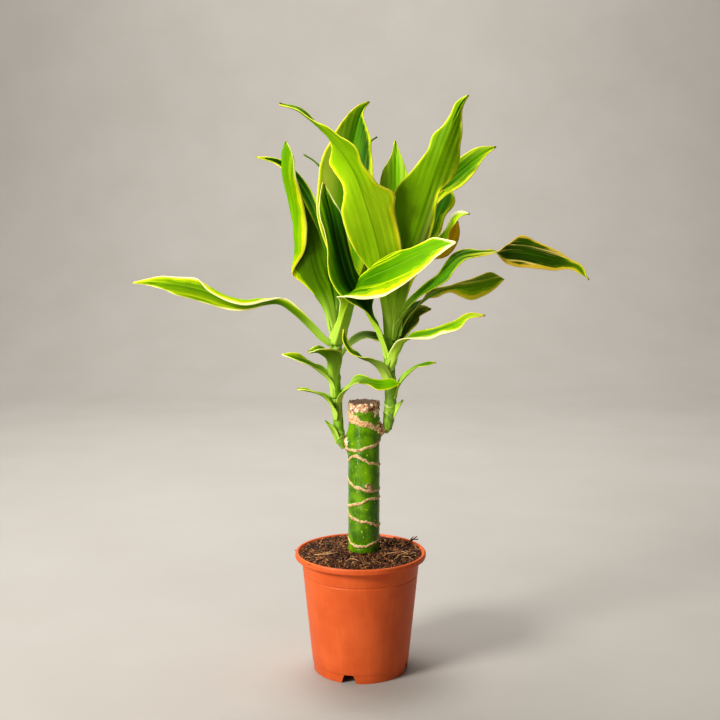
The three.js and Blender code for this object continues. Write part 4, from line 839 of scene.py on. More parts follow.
        width=27.1, left=[0.45, 0.36, 0.8, 0.66, 0.56, 0.5, 0.48, 0.46, 0.04],
        right=[0.45, 0.61, 0.49, 0.8, 1, 0.97, 0.53, 0.47, 0.03],
        face=[[-1, 0.3, 0.3], [-0.5, -0.2, 0.8], [-0.3, -0.8, 0.6]], fold=[30, 20, 10],
        wave=[0.6, 1.5, 0], band_left=[0, 0.3, 0.5], band_right=[0, 0.8, 1.3], tan=0.7,
        upper=[0.5, 0.34, 0.32, 0.4], dry=[0, 0, 0.1, 0.2], stripes=0.2,
    ),
    "right_low_leaf": dict(
        path=[
            [32.1, -1, 251.9], [33.8, -2, 261.2], [37.3, -4, 268.3], [42.6, -6, 274.5],
            [49.6, -8, 281.1], [58.4, -10, 284.4], [67.3, -11, 285.9],
        ],
        width=12.7, left=[0.64, 0.64, 0.65, 0.7, 0.45, 0.34, 0.38, 0.09],
        right=[0.64, 0.55, 0.63, 0.81, 0.92, 0.81, 1, 0.09],
        face=[[-1, 0, 0], [-0.5, -0.4, 1], [0, -0.4, 1]], fold=[30, 20, 10], wave=[0.4, 1.5, 0],
        band=[0, 0.2, 0.4], upper=[0.75, 0.52, 0.5, 0.6], stripes=0.2,
    ),
    "right_inner_leaf": dict(
        path=[
            [26.4, -6, 263.6], [23.7, -8, 273.8], [17.3, -12, 282], [9.2, -15, 286.8],
            [0.4, -17, 290.6], [-6.7, -18, 295.6], [-11.1, -18, 301.9], [-13.8, -18, 308.1],
            [-14.7, -18, 316],
        ],
        width=14.6, left=[0.46, 0.48, 0.59, 0.67, 0.52, 0.68, 0.53, 0.57, 0.56, 0.52, 0.08],
        right=[0.86, 1, 0.97, 0.77, 0.68, 0.74, 0.73, 0.35, 0.19, 0.31, 0.05],
        face=[[0.3, 1, 0.2], [0.3, 0.9, 0.4], [0.2, 0.3, 0.9], [0.3, -0.7, 0.7], [0.6, -0.6, 0.2]],
        fold=[30, 20, 10, 20], wave=[0.3, 1.5, 0], band=[0, 0.1, 0.9, 1],
        upper=[0.6, 0.4, 0.4, 0.5, 0.6], under=[0.4, 0.26, 0.3, 0.5], stripes=0.3,
    ),
    "right_scale_leaf": dict(
        path=[[28, 0, 234], [33, -4, 244], [38, -5, 251]], width=8, shape=[1, 0.85, 0.6, 0.08],
        face=[[-0.6, -0.7, 0.3], [-0.3, -0.8, 0.5]], fold=[20, 15, 15], wave=[0, 1, 0], band=0,
        upper=0.36,
    ),
}

# the tones of the two faces, from 0 to 1
EVENLY = (0.0, 0.25, 0.5, 0.75, 1.0)
LEAF_UPPER = list(zip(EVENLY, (
    rgb(10, 46, 2), rgb(38, 86, 0), rgb(78, 132, 0), rgb(120, 178, 0), rgb(174, 212, 12)
)))
LEAF_UNDER = list(zip(EVENLY, (
    rgb(24, 44, 2), rgb(58, 88, 3), rgb(99, 140, 4), rgb(136, 181, 8), rgb(174, 208, 32)
)))


def midrib(name, leaf):
    """A chain of points along a leaf's midrib, with the blade's numbers kept at each."""
    fine = keyed(leaf["path"], np.linspace(0, 1, PATH_POINTS))
    run = np.concatenate([[0], np.cumsum(np.linalg.norm(np.diff(fine, axis=0), axis=1))])
    u = np.linspace(0, 1, RIB_POINTS)
    points = np.stack([np.interp(u * run[-1], run, fine[:, axis]) for axis in range(3)], -1)
    chain = bpy.data.meshes.new(name + "_midrib")
    chain.from_pydata((points * MM).tolist(), [(i, i + 1) for i in range(RIB_POINTS - 1)], [])

    def keep(key, *columns):
        numbers = np.stack(np.broadcast_arrays(*columns), -1)
        kept = chain.attributes.new(key, "FLOAT_VECTOR", "POINT")
        kept.data.foreach_set("vector", numbers.astype(np.float32).ravel())

    def half(side):
        share = leaf.get("shape") or leaf[side]
        return np.maximum(leaf["width"] / 2 * keyed(share, u), NARROWEST)

    def bend(side):  # never quite 0, because the tree divides by it
        return np.radians(keyed(leaf.get("curl_" + side, leaf.get("curl", 0)), u)) + 1e-4

    def crease(side):
        return keyed(leaf.get("crease_" + side, 0), u)

    def span(side):
        return CREASE if "crease_" + side in leaf else 1.0

    def look(key, usual):
        return keyed(leaf.get(key, usual), u)

    def sides(key, usual):
        both = leaf.get(key, usual)
        return look(key + "_left", both), look(key + "_right", both)

    keep("halves", half("left"), half("right"), np.radians(keyed(leaf["fold"], u)))
    keep("bends", bend("left"), bend("right"), 0.0)
    keep("creases", crease("left"), crease("right"), 0.0)
    keep("spans", span("left"), span("right"), np.zeros_like(u))
    keep("faces", *np.moveaxis(keyed(leaf["face"], u), -1, 0))
    keep("bands", *sides("band", 1.2), look("second", 0.0))
    keep("creams", *sides("cream", 0.0), look("stripes", 0.3))
    keep("uppers", *sides("upper", 0.6), look("upper", 0.6))
    keep("unders", *sides("under", 0.55), look("under", 0.55))
    keep("dulls", *sides("dull", 0.0), look("dry", 0.0))
    keep("pales", *sides("pale", 0.0), look("tan", 0.0))
    return placed(name, chain), run[-1]


def leaf_tree():
    """A blade swept along a midrib: each half rises from it by the fold and bends by the curl."""
    tree, g, given = new_tree(
        "leaf blade", Steps=int, Cells=int, Thickness=float, Wave_Height=float, Wave_Count=float,
        Wave_Start=float, Pleat=float, Length=float, Seed=float, Material=bpy.types.Material,
    )
    rib = g.add("GeometryNodeMeshToCurve", {"Mesh": given["Geometry"]})
    sheet = g.add(
        "GeometryNodeMeshGrid",
        {"Size X": 2.0, "Size Y": 1.0, "Vertices X": given["Cells"] * 2 + 1,
         "Vertices Y": given["Steps"] + 1},
    )
    spot = g.add("ShaderNodeSeparateXYZ", {0: g.add("GeometryNodeInputPosition")})
    across, along = spot["X"], spot["Y"] + 0.5
    side, out = g.maths("SIGN", across), abs(across)
    is_right = g.maths("GREATER_THAN", across, 0.0)

    def sampled(key, part="Value"):
        kept = named(g, key, "FLOAT_VECTOR")
        return g.add(
            "GeometryNodeSampleCurve", {"Curves": rib, "Value": kept, "Factor": along},
            output=part, mode="FACTOR", data_type="FLOAT_VECTOR",
        )

    def numbers(key):
        parts = g.add("ShaderNodeSeparateXYZ", {0: sampled(key)})
        return parts["X"], parts["Y"], parts["Z"]

    def of_side(left, right):
        return left + (right - left) * is_right

    def sine(angle):
        return g.maths("SINE", angle)

    def cosine(angle):
        return g.maths("COSINE", angle)

    def ridge(distance, width):
        """1 at no distance, falling away like a bell."""
        return g.maths("EXPONENT", (distance / width) ** 2 * -1.0)

    half_left, half_right, fold = numbers("halves")
    curl_left, curl_right, _ = numbers("bends")
    from_left, from_right, _ = numbers("creases")
    span_left, span_right, _ = numbers("spans")
    band_left, band_right, second = numbers("bands")
    cream_left, cream_right, stripes = numbers("creams")
    upper_left, upper_right, upper = numbers("uppers")
    under_left, under_right, under = numbers("unders")
    dull_left, dull_right, dry = numbers("dulls")
    pale_left, pale_right, tan = numbers("pales")
    half, curl = of_side(half_left, half_right), of_side(curl_left, curl_right)

    # the blade's own directions at each step along the midrib
    centre = sampled("halves", "Position")
    forward = g.maths("NORMALIZE", sampled("halves", "Tangent"))
    facing = sampled("faces")
    facing = g.maths("NORMALIZE", facing - forward * g.maths("DOT_PRODUCT", facing, forward))
    sideways = g.maths("CROSS_PRODUCT", forward, facing)

    # a half's section starts at the fold's angle, turns by the curl over its span, and runs on
    start, span = of_side(from_left, from_right), of_side(span_left, span_right)
    before = g.maths("MINIMUM", out, start)
    turned = g.maths("MINIMUM", g.maths("MAXIMUM", out - start, 0.0), span)
    after = g.maths("MAXIMUM", out - start - span, 0.0)
    angle, last = fold + curl * turned / span, fold + curl
    radius = span / curl
    reach = before * cosine(fold) + (sine(angle) - sine(fold)) * radius + after * cosine(last)
    rise = before * sine(fold) + (cosine(fold) - cosine(angle)) * radius + after * sine(last)
    reach, rise = half * reach, half * rise

    # ripples that grow towards the margin, a groove along the midrib and shallow pleats
    grown = g.between(along, 0.15, 0.35) * g.between(along, 0.85, 1.0, 1.0, 0.0)
    wave = given["Wave Count"] * along + given["Wave Start"] + side * 0.37
    ripple = given["Wave Height"] * out * out * sine(wave * TURN) * grown
    fine = sine((wave * 2.7 + given["Seed"]) * TURN) * given["Wave Height"] * 0.22
    groove = ridge(half * out, 1.4) * -0.55
    pleat = sine(out * half / 5.2 * TURN) * given["Pleat"] * grown
    lift = rise + ripple + fine * out ** 4 * grown + groove + pleat
    place = centre + (sideways * (side * reach) + facing * lift) * MM

    # what the finish reads: each face's tone runs from the midrib's own to its half's
    edge, spread = half * (1.0 - out), g.between(out, 0.05, 0.85)
    kept = {
        "edge": edge, "across": half * across, "along": along * given["Length"], "share": along,
        "band": of_side(band_left, band_right), "cream": of_side(cream_left, cream_right),
        "second": second, "stripes": stripes, "dry": dry, "tan": tan, "seed": given["Seed"],
        "upper": upper + (of_side(upper_left, upper_right) - upper) * spread,
        "under": under + (of_side(under_left, under_right) - under) * spread,
        "dull": of_side(dull_left, dull_right) * spread,
        "pale": of_side(pale_left, pale_right) * spread,
    }
    for key, value in kept.items():
        sheet = stored(g, sheet, key, value)
    sheet = g.add("GeometryNodeSetPosition", {"Geometry": sheet, "Position": place})

    # thickness: half above and half below, thickest at the midrib
    keel = ridge(named(g, "across"), 1.8) * 0.7
    thick = (given["Thickness"] * g.between(named(g, "edge"), 0.0, 3.0, 0.6, 1.0) + keel) * MM
    normal = g.add("GeometryNodeInputNormal")
    top = g.add("GeometryNodeSetPosition", {"Geometry": sheet, "Offset": normal * (thick * 0.5)})
    below = g.add(
        "GeometryNodeExtrudeMesh", {"Mesh": top, "Offset Scale": thick * -1.0, "Individual": False}
    )
    below = stored(g, below, "lower", 1.0, "FACE", Selection=below["Top"])
    below = g.add("GeometryNodeFlipFaces", {"Mesh": below})
    whole = g.add("GeometryNodeJoinGeometry")
    for face in (below, top):
        g.feed(whole.socket.node.inputs[0], face)
    whole = g.add("GeometryNodeMergeByDistance", {"Geometry": whole, "Distance": 2e-7})
    end_tree(g, whole, given["Material"])
    return tree


def leaf_finish():
    """Striped green with a ragged yellow margin, here and there cream at its very edge."""
    f = Finish("leaf")
    across, along, edge = f.read("across"), f.read("along"), f.read("edge")
    seed, share, tan = f.read("seed"), f.read("share"), f.read("tan")
    is_lower = f.maths("GREATER_THAN", f.read("lower"), 0.5)
    streaks = f.noise(f.join(across / 1.1, along / 55, seed), 1.0, 4.0, 0.6)
    broad = f.noise(f.join(across / 4.0, along / 90, seed + 7.0), 1.0, 2.0)
    clouds = f.noise(f.join(across / 14, along / 26, seed + 3.0), 1.0, 3.0)
    ragged = f.noise(f.join(across / 2.5, along / 18, seed + 11.0), 1.0, 4.0, 0.65)
    side = f.maths("SIGN", across)
    wander = f.noise(f.join(side * 3.0, along / 16, seed + 19.0), 1.0, 2.0)

    # body green of the upper and the lower side, with painted light and painted shade on some
    # halves
    tone = f.read("upper") + (clouds - 0.5) * 0.2 + (streaks - 0.5) * 0.2
    top = f.add("ShaderNodeValToRGB", {0: tone}, stops=LEAF_UPPER)
    tone = f.read("under") + (clouds - 0.5) * 0.22 + (streaks - 0.5) * 0.1
    bottom = f.add("ShaderNodeValToRGB", {0: tone}, stops=LEAF_UNDER)
    colour = f.blend(top, bottom, is_lower)
    # the pale patch is a painted sheen, and the dull grey-green partly a painted sheen
    colour = f.blend(colour, rgb(214, 228, 84), f.read("pale"))
    colour = f.blend(colour, rgb(132, 136, 76), f.read("dull"))

    # lighter streaks that run along the blade, most towards the margins
    band = f.read("band")
    near = f.between(edge - band * 1.2, 0.0, 6.0, 1.0, 0.25)
    lit = f.between(broad + (streaks - 0.5) * 0.5, 0.54, 0.64) * f.read("stripes") * near
    streak = f.blend(rgb(205, 222, 24), rgb(226, 192, 118), tan)
    colour = f.blend(colour, streak, f.maths("MINIMUM", lit * 1.3, 0.92))

    # margin: yellow with a ragged bound, a second stripe inside it, and a cream edge
    has = f.between(band, 0.05, 0.4)
    width = band * (0.35 + wander * 1.0 + (ragged - 0.5) * 0.9)
    width = width + (streaks - 0.5) * f.maths("MINIMUM", band, 2.0) * 0.9
    margin = f.between(edge - width, -0.35, 0.35, 1.0, 0.0) * has
    fringe = f.between(edge - width * 1.6, -0.3, 0.8, 0.6, 0.0) * has
    inward = f.between(edge / (width + 0.1), 0.1, 0.6)
    yellow = f.blend(rgb(240, 236, 88), rgb(212, 217, 22), inward)
    yellow = f.blend(yellow, rgb(172, 200, 10), f.between(streaks, 0.5, 0.62) * 0.65)
    yellow = f.blend(yellow, rgb(206, 160, 62), tan * 0.85)
    colour = f.blend(colour, rgb(168, 200, 12), fringe * (1.0 - tan))
    colour = f.blend(colour, yellow, margin)
    line = f.between(abs(edge - width * 1.9 - 0.6), 0.25, 0.9, 1.0, 0.0) * f.read("second")
    colour = f.blend(colour, yellow, line)
    cream_edge = f.read("cream") * (0.5 + wander * 0.6 + (ragged - 0.5) * 0.8)
    has = f.between(f.read("cream"), 0.1, 0.7)
    cream = f.between(edge - cream_edge, -0.5, 0.5, 1.0, 0.0) * has
    colour = f.blend(colour, rgb(250, 247, 178), cream)

    # midrib: a dark line below, a fainter light one above, with painted shade on both sides of its
    # groove
    rib = f.between(abs(across), 0.15, 0.8, 1.0, 0.0) * f.between(share, 0.7, 0.92, 1.0, 0.0)
    colour = f.blend(colour, rgb(64, 112, 2), rib * is_lower * 0.6)
    colour = f.blend(colour, rgb(150, 196, 60), rib * (1.0 - is_lower) * 0.28)
    # painted shade along the two sides of the midrib's groove
    groove = f.between(abs(abs(across) - 1.2), 0.1, 0.8, 1.0, 0.0) * (1.0 - is_lower)
    groove = groove * f.between(share, 0.6, 0.85, 1.0, 0.0)
    colour = f.blend(colour, rgb(45, 85, 2), groove * 0.22)

    # pale base where the blade narrows to its sheath, and what has dried
    base = f.between(along + (streaks - 0.5) * 16.0, 5.0, 50.0, 1.0, 0.0)
    colour = f.blend(colour, rgb(190, 222, 92), base * 0.85)
    scorched = f.between(ragged + clouds * 0.4, 0.55, 0.75) * 0.4 + 0.6
    colour = f.blend(colour, rgb(222, 168, 10), f.read("dry") * scorched)
    tip = f.between(share + (ragged - 0.5) * 0.02, 0.988, 0.998)
    colour = f.blend(colour, rgb(150, 120, 40), tip * 0.5)

    veins = f.maths("SINE", across * (TURN / VEIN_GAP)) * 0.5 + 0.5
    height = (veins * 0.35 + streaks * 0.65) * (1.0 - is_lower * 0.45)
    gloss = f.between(clouds, 0.3, 0.7, 0.34, 0.46) + is_lower * 0.1
    return f.paint(colour, gloss, height, relief=0.1, Specular_IOR_Level=0.05)


def make_leaves():
    tree, finish = leaf_tree(), leaf_finish()
    for number, (name, leaf) in enumerate(LEAVES.items()):
        rib, length = midrib(name + "_rib", leaf)
        height, count, start = map(float, leaf["wave"])
        small = leaf["width"] < SMALL_LEAF
        parts = 2 if small else 1
        run_tree(
            rib, tree, Steps=BLADE_STEPS // parts, Cells=BLADE_CELLS // parts,
            Thickness=BLADE_THICKNESS, Wave_Height=height, Wave_Count=count, Wave_Start=start,
            Pleat=0.0 if small else PLEAT, Length=float(length), Seed=number * SEED_STEP,
            Material=finish,
        )
        finished(name + "_blade", rib, name)


# ---------------------------------------------------------------- shoots
SHOOTS = {
    "left_shoot": dict(
        path=[
            [-15, -2, 206], [-19, -1, 219], [-22, 0, 252], [-23, 0, 284], [-20, 0, 314],
            [-16, 0, 338], [-14, 2, 356],
        ],
        radius=[2.8, 4.7, 4.7, 4.9, 5.4, 4.2, 1.6],
        joints=[0.12, 0.2, 0.3, 0.44, 0.55], lean=[-60, 150, -70, 120, -40],
    ),
    "right_shoot": dict(
        path=[
            [22, 0, 220], [25, 0, 229], [27, 0, 252], [26, 0, 285], [26, 0, 312],
            [28, 1, 336], [29, 2, 356],
        ],
        radius=[2.6, 4.9, 5.3, 5.2, 5.2, 4.2, 1.6],
        joints=[0.1, 0.22, 0.31, 0.43, 0.58], lean=[60, -150, 80, -110, 50],
    ),
}


def make_shoots():
    """Stems wrapped in old leaf bases: each base ends in a slanted lip with a pale seam."""
    finish = shoot_finish()
    rows, columns = 260, 56
    u, turn = np.linspace(0, 1, rows), turns(columns)
    along = np.repeat(u[:, None] * SHOOT_LENGTH, columns, 1)
    for name, shoot in SHOOTS.items():
        reach = np.repeat(keyed(shoot["radius"], u)[:, None], columns, 1)
        seam = np.zeros_like(reach)
        for joint, lean in zip(shoot["joints"], shoot["lean"]):
            slant = joint + 0.028 * np.cos(turn - math.radians(lean))[None, :]
            past = (u[:, None] - slant) * SHOOT_LENGTH  # mm above the lip
            reach += 0.42 * bump(past, 1.5) - 0.3 * step(past, 0, 1.6) * bump(past, 9)
            seam = np.maximum(seam, bump(past - 0.2, 0.9))
        reach *= 1 + 0.02 * rough(along, turn[None, :] * 5, 0, 9, 3)
        reach[0] *= 0.6
        points, faces = stacked(wrapped(keyed(shoot["path"], u), reach, [0, 1, 0]))
        kept = {key: np.append(grid.ravel(), [grid[0].mean(), grid[-1].mean()])
                for key, grid in (("seam", seam), ("along", along))}
        settle(mesh_object(name + "_stem", points, faces, finish, **kept), name)


def shoot_finish():
    """Pale waxy green with fine length-wise lines and cream seams."""
    f = Finish("shoot")
    spot, seam, along = f.place(), f.read("seam"), f.read("along")
    lines = f.noise(spot * (1.6, 1.6, 0.06), 1.0, 3.0)
    clouds = f.noise(spot, 9.0, 3.0)
    green = f.blend(rgb(92, 138, 6), rgb(146, 190, 34), f.between(clouds, 0.3, 0.7))
    green = f.blend(green, rgb(182, 212, 96), f.between(lines, 0.48, 0.7) * 0.5)
    mottles = f.noise(spot + (5.0, 9.0, 2.0), 3.2, 3.0)
    old, young = f.between(along, 8, 45, 0.7, 0.0), f.between(along, 70, 130)
    green = f.blend(green, rgb(84, 124, 4), f.between(mottles, 0.5, 0.62) * old)
    green = f.blend(green, rgb(186, 214, 100), young * 0.5)
    colour = f.blend(green, rgb(206, 214, 116), f.between(seam, 0.45, 0.9) * 0.5)
    colour = f.blend(colour, rgb(150, 110, 50), f.between(seam * clouds, 0.55, 0.7) * 0.6)
    return f.paint(colour, f.between(clouds, 0.3, 0.7, 0.38, 0.5), lines, relief=0.12,
                   Coat_Weight=0.08, Coat_Roughness=0.3)


# ---------------------------------------------------------------- cane
CANE_RINGS = [  # [degrees from the front, height] round each leaf scar
    [[-90, 122.6], [-32, 117.5], [4, 117.6], [39, 120.1], [83, 123.7], [180, 126]],
    [[-90, 148], [-48, 143.2], [-3, 140.8], [74, 135], [180, 141]],
    [[-90, 152.7], [-17, 157], [23, 161.7], [81, 161.1], [180, 157]],
    [[-90, 178.4], [-22, 171.9], [18, 168.8], [80, 168.2], [180, 174]],
    [[-90, 194.6], [-30, 201.1], [0, 197.8], [25, 194.3], [90, 190.9], [180, 195]],
    [[-90, 205.8], [-26, 205.7], [25, 209.4], [90, 213.6], [180, 209]],
    [[-90, 238.5], [-52, 235.9], [10, 229.6], [90, 221.5], [180, 229]],
]
KNOBS = [  # callus under each shoot, and a sleeping bud
    dict(at=-84, height=212, out=5.2, wide=6, high=8),
    dict(at=84, height=223, out=5.6, wide=6, high=6.5),
    dict(at=17, height=173, out=2.8, wide=3.8, high=4.0),
]


def make_cane():
    """The cut cane: glossy skin, sloping scar rings of cork, crusty bark and a sawn top."""
    columns = 168
    buried = np.linspace(CANE_FOOT, CANE_SEEN - 1, 6)
    seen = np.arange(CANE_SEEN, CANE_TOP + 0.1, CANE_ROW)
    degrees = -180 + 360 * (np.arange(columns) + 0.5) / columns
    z, d = np.meshgrid(np.concatenate([buried, seen]), degrees, indexing="ij")
    angle = np.radians(d - 90)
    x0, y0 = SKIN_RADIUS * np.cos(angle), SKIN_RADIUS * np.sin(angle)
    reach = CANE_RADIUS - 0.8 - 0.9 * np.clip((z - 190) / 55, 0, 1)
    reach = reach + 0.16 * rough(x0, y0, z, 16, 1) + 0.05 * rough(x0, y0, z, 4, 2)
    scar, bark = np.zeros_like(z), np.zeros_like(z)
    jitter = 0.55 * rough(x0, y0, z * 0.4, 3.2, 4)
    for number, ring in enumerate(CANE_RINGS):
        middle = around(ring, d) + jitter * 0.7
        band = 1.25 + 0.35 * rough(x0, y0, z, 7, 20 + number)
        if number == len(CANE_RINGS) - 1:  # the broad band of bark, widest and lowest at the left
            low = bump(d + 58, 34)
            middle, band = middle - 2.2 * low, 2.7 + 1.9 * low + 0.7 * rough(x0, y0, z, 4, 27)
        inside = step(band - np.abs(z - middle), -0.25, 0.45)
        lip = bump(z - middle - 0.3 * band, 0.45 * band)
        reach += inside * (0.5 + 0.28 * rough(x0, y0, z, 1.7, 30 + number)) + 0.12 * lip * inside
        reach -= 0.28 * bump(z - middle + band + 0.8, 0.9)  # the skin tucks in under a scar
        scar = np.maximum(scar, inside)
    patches = step(z - around(CANE_RINGS[-1], d), 1, 4) * step(rough(x0, y0, z, 8, 6), 0.1, 0.5)
    crust = step(z + 1.4 * rough(x0, y0, z, 5, 5), 239.5, 241.5) + patches
    window = bump(d - 12, 26) * bump(z - 236.5, 4.2)  # a green window in the crust, at the front
    crust = np.clip(crust * (1 - 1.2 * window), 0, 1) * step(z, 222, 226)
    reach += crust * (0.3 + 0.35 * rough(x0, y0, z, 1.7, 7) + 0.75 * rough(x0, y0, z, 4.2, 8))
    bark = np.maximum(bark, crust)
    for knob in KNOBS:
        aside = np.radians(d - knob["at"]) * SKIN_RADIUS
        near = bump(aside, knob["wide"]) * bump(z - knob["height"], knob["high"])
        reach += knob["out"] * near * (1 + 0.12 * rough(x0, y0, z, 2.2, 9))
        bark = np.maximum(bark, step(near * (1 + 0.35 * rough(x0, y0, z, 3, 10)), 0.34, 0.6))
    reach = np.where(z < 116, np.minimum(reach, CANE_RADIUS - 0.25), reach)
    ragged = 0.9 * rough(x0, y0, 0, 4, 11) + 0.6 * rough(x0, y0, 0, 1.5, 13)
    height = z + step(z, 245, CANE_TOP) * ragged
    skin = np.stack([CANE_X + reach * np.cos(angle), reach * np.sin(angle), height], -1)

    # the sawn top sinks from its rim to a soft pith
    share = np.linspace(0.97, 0.04, 26)[:, None]
    x, y = CANE_X + (skin[-1, :, 0] - CANE_X) * share, skin[-1, :, 1] * share
    sunk = CANE_TOP - 0.2 - 1.6 * (1 - share) + 0.28 * rough(x, y, 0, 2.4, 12)
    points, faces = stacked(np.concatenate([skin, np.stack([x, y, sunk], -1)]))

    def whole(grid, cut):
        """A number for every point: up the skin, over the sawn top, and at the two ends."""
        return np.append(np.concatenate([grid, np.full(x.shape, cut)]), [0, cut])

    cane = mesh_object(
        "cane_stem", points, faces, cane_finish(),
        scar=whole(scar, 0), bark=whole(bark, 1), sawn=whole(z == seen[-1], 1),
    )
    settle(cane, "cane")


def cane_finish():
    """Glossy green skin with yellow flecks, tan cork on the scars, grey-brown crust on top."""
    f = Finish("cane")
    spot, scar, bark, sawn = f.place(), f.read("scar"), f.read("bark"), f.read("sawn")
    clouds = f.noise(spot, 15.0, 4.0)
    fine = f.noise(spot, 1.6, 5.0, 0.65)
    lengthwise = f.noise(spot * (1.0, 1.0, 0.12), 1.4, 3.0)
    green = f.blend(rgb(60, 108, 0), rgb(120, 166, 2), f.between(clouds, 0.32, 0.68))
    green = f.blend(green, rgb(46, 88, 0), f.between(lengthwise, 0.5, 0.75) * 0.35)
    flecks = f.noise(spot * (1.0, 1.0, 0.55), 2.3, 1.0)
    green = f.blend(green, rgb(196, 212, 40), f.between(flecks, 0.68, 0.76) * 0.85)
    stains = f.noise(spot + (40.0, 3.0, 9.0), 6.0, 4.0, 0.7)
    green = f.blend(green, rgb(92, 70, 12), f.between(stains, 0.6, 0.74) * 0.75)
    pale = f.between(scar, 0.02, 0.35)
    green = f.blend(green, rgb(206, 222, 150), pale * (1.0 - scar) * 0.9)
    cork = f.blend(rgb(238, 194, 144), rgb(182, 124, 78), f.between(fine, 0.42, 0.62))
    cork = f.blend(cork, rgb(92, 54, 30), f.between(fine, 0.64, 0.74) * 0.8)
    # paler patches on the cork: painted highlights
    paler = f.noise(spot + (2.0, 21.0, 6.0), 3.0, 2.0)
    cork = f.blend(cork, rgb(248, 214, 176), f.between(paler, 0.54, 0.64) * 0.7)
    colour = f.blend(green, cork, f.between(scar + (fine - 0.5) * 0.5, 0.4, 0.6))
    darker = f.between(fine + (clouds - 0.5) * 0.5, 0.46, 0.64)
    crust = f.blend(rgb(226, 174, 126), rgb(122, 76, 44), darker)
    lumps = f.noise(spot + (17.0, 5.0, 1.0), 4.5, 3.0)
    # pale tops on the crust's lumps: painted highlights
    crust = f.blend(crust, rgb(255, 226, 196), f.between(lumps, 0.5, 0.6) * 0.9)
    gaps = f.between(lumps + fine * 0.4, 0.56, 0.64, 1.0, 0.0)
    crust = f.blend(crust, rgb(44, 24, 12), gaps * 0.85)
    colour = f.blend(colour, crust, f.between(bark + (fine - 0.5) * 0.5, 0.4, 0.6))
    rings = f.noise(spot * (1.0, 1.0, 0.2), 0.9, 4.0, 0.7)
    wood = f.blend(rgb(148, 112, 84), rgb(58, 38, 26), f.between(rings, 0.4, 0.6))
    colour = f.blend(colour, wood, sawn)
    corky = f.maths("MAXIMUM", f.maths("MAXIMUM", scar, bark), sawn)
    height = fine * (0.12 + corky * 0.88) + lengthwise * 0.15
    gloss = f.between(clouds, 0.3, 0.7, 0.16, 0.26)
    return f.paint(colour, gloss + corky * 0.5, height, relief=0.5, Specular_IOR_Level=0.34)


# ---------------------------------------------------------------- pot
def wall(z):
    """The body's outer radius at a height."""
    return FOOT_RADIUS + (BODY_TOP_RADIUS - FOOT_RADIUS) / (POT_HEIGHT - RIM_DROP) * z


POT_PROFILE = [  # radius, height and how far the corner is rounded, from the floor's middle out
    (0.0, FLOOR_HEIGHT, 0), (wall(FLOOR_HEIGHT) - WALL - 1, FLOOR_HEIGHT, 0.5),
    (wall(0) - WALL - 1, 0.0, 0.3), (wall(0) - 0.5, 0.0, 0.45), (wall(7.6) - 0.5, 7.6, 0.3),
    (wall(8.2), 8.3, 0.3), (wall(89.4), 89.4, 0.25), (wall(90) - 0.4, 90.0, 0.2),
    (wall(91) - 0.4, 90.8, 0.2), (wall(91.4), 91.4, 0.25), (wall(105), 105.0, 0.5),
    (RIM_RADIUS - 0.4, 105.0, 0.4), (RIM_RADIUS, 105.7, 0.4), (RIM_RADIUS, 109.0, 0.9),
    (RIM_RADIUS - 1.0, POT_HEIGHT, 0.7), (RIM_RADIUS - 2.7, POT_HEIGHT, 0.6),
    (RIM_RADIUS - 3.8, 107.8, 0.5), (wall(105) - WALL + 0.5, 105.9, 0.5),
    (wall(102) - WALL, 102.0, 0.5), (wall(10) - WALL, FLOOR_HEIGHT + 1.5, 0.6),
    (0.0, FLOOR_HEIGHT + 1.5, 0),
]


def rounded(profile, cuts=4):
    """A profile with each corner turned into a short arc of points."""
    line = []
    corners = [np.array(p[:2], float) for p in profile]
    for i, corner in enumerate(corners):
        size = profile[i][2]
        if not size or i in (0, len(corners) - 1):
            line.append(corner)
            continue
        back, on = corners[i - 1] - corner, corners[i + 1] - corner
        size = min(size, 0.45 * np.linalg.norm(back), 0.45 * np.linalg.norm(on))
        a, b = corner + unit(back) * size, corner + unit(on) * size
        for t in np.linspace(0, 1, cuts):
            line.append(a * (1 - t) ** 2 + corner * 2 * t * (1 - t) + b * t * t)
    return np.array(line)


def notch_cutter(number):
    """A block across the pot's foot that narrows upwards."""
    angle = math.radians(-90 + NOTCH_AZIMUTH + 360 / NOTCHES * number)
    out = np.array([math.cos(angle), math.sin(angle), 0])
    aside = np.array([-math.sin(angle), math.cos(angle), 0])
    near, far = NOTCH_REACH
    return stacked([
        [out * reach + aside * way * half + [0, 0, z]
         for reach, way in ((near, -1), (far, -1), (far, 1), (near, 1))]
        for z, half in NOTCH_OUTLINE
    ])


def drain_cutter(number):
    """A round rod through the pot's floor, the last one in the middle."""
    angle = math.radians(360 / DRAIN_HOLES * number + 15)
    out = 0 if number == DRAIN_HOLES else DRAIN_RING
    x, y = out * math.cos(angle), out * math.sin(angle)
    ends = FLOOR_HEIGHT - 3, FLOOR_HEIGHT + 4
    return stacked([circle(DRAIN_RADIUS, z, 32, x, y) for z in ends])


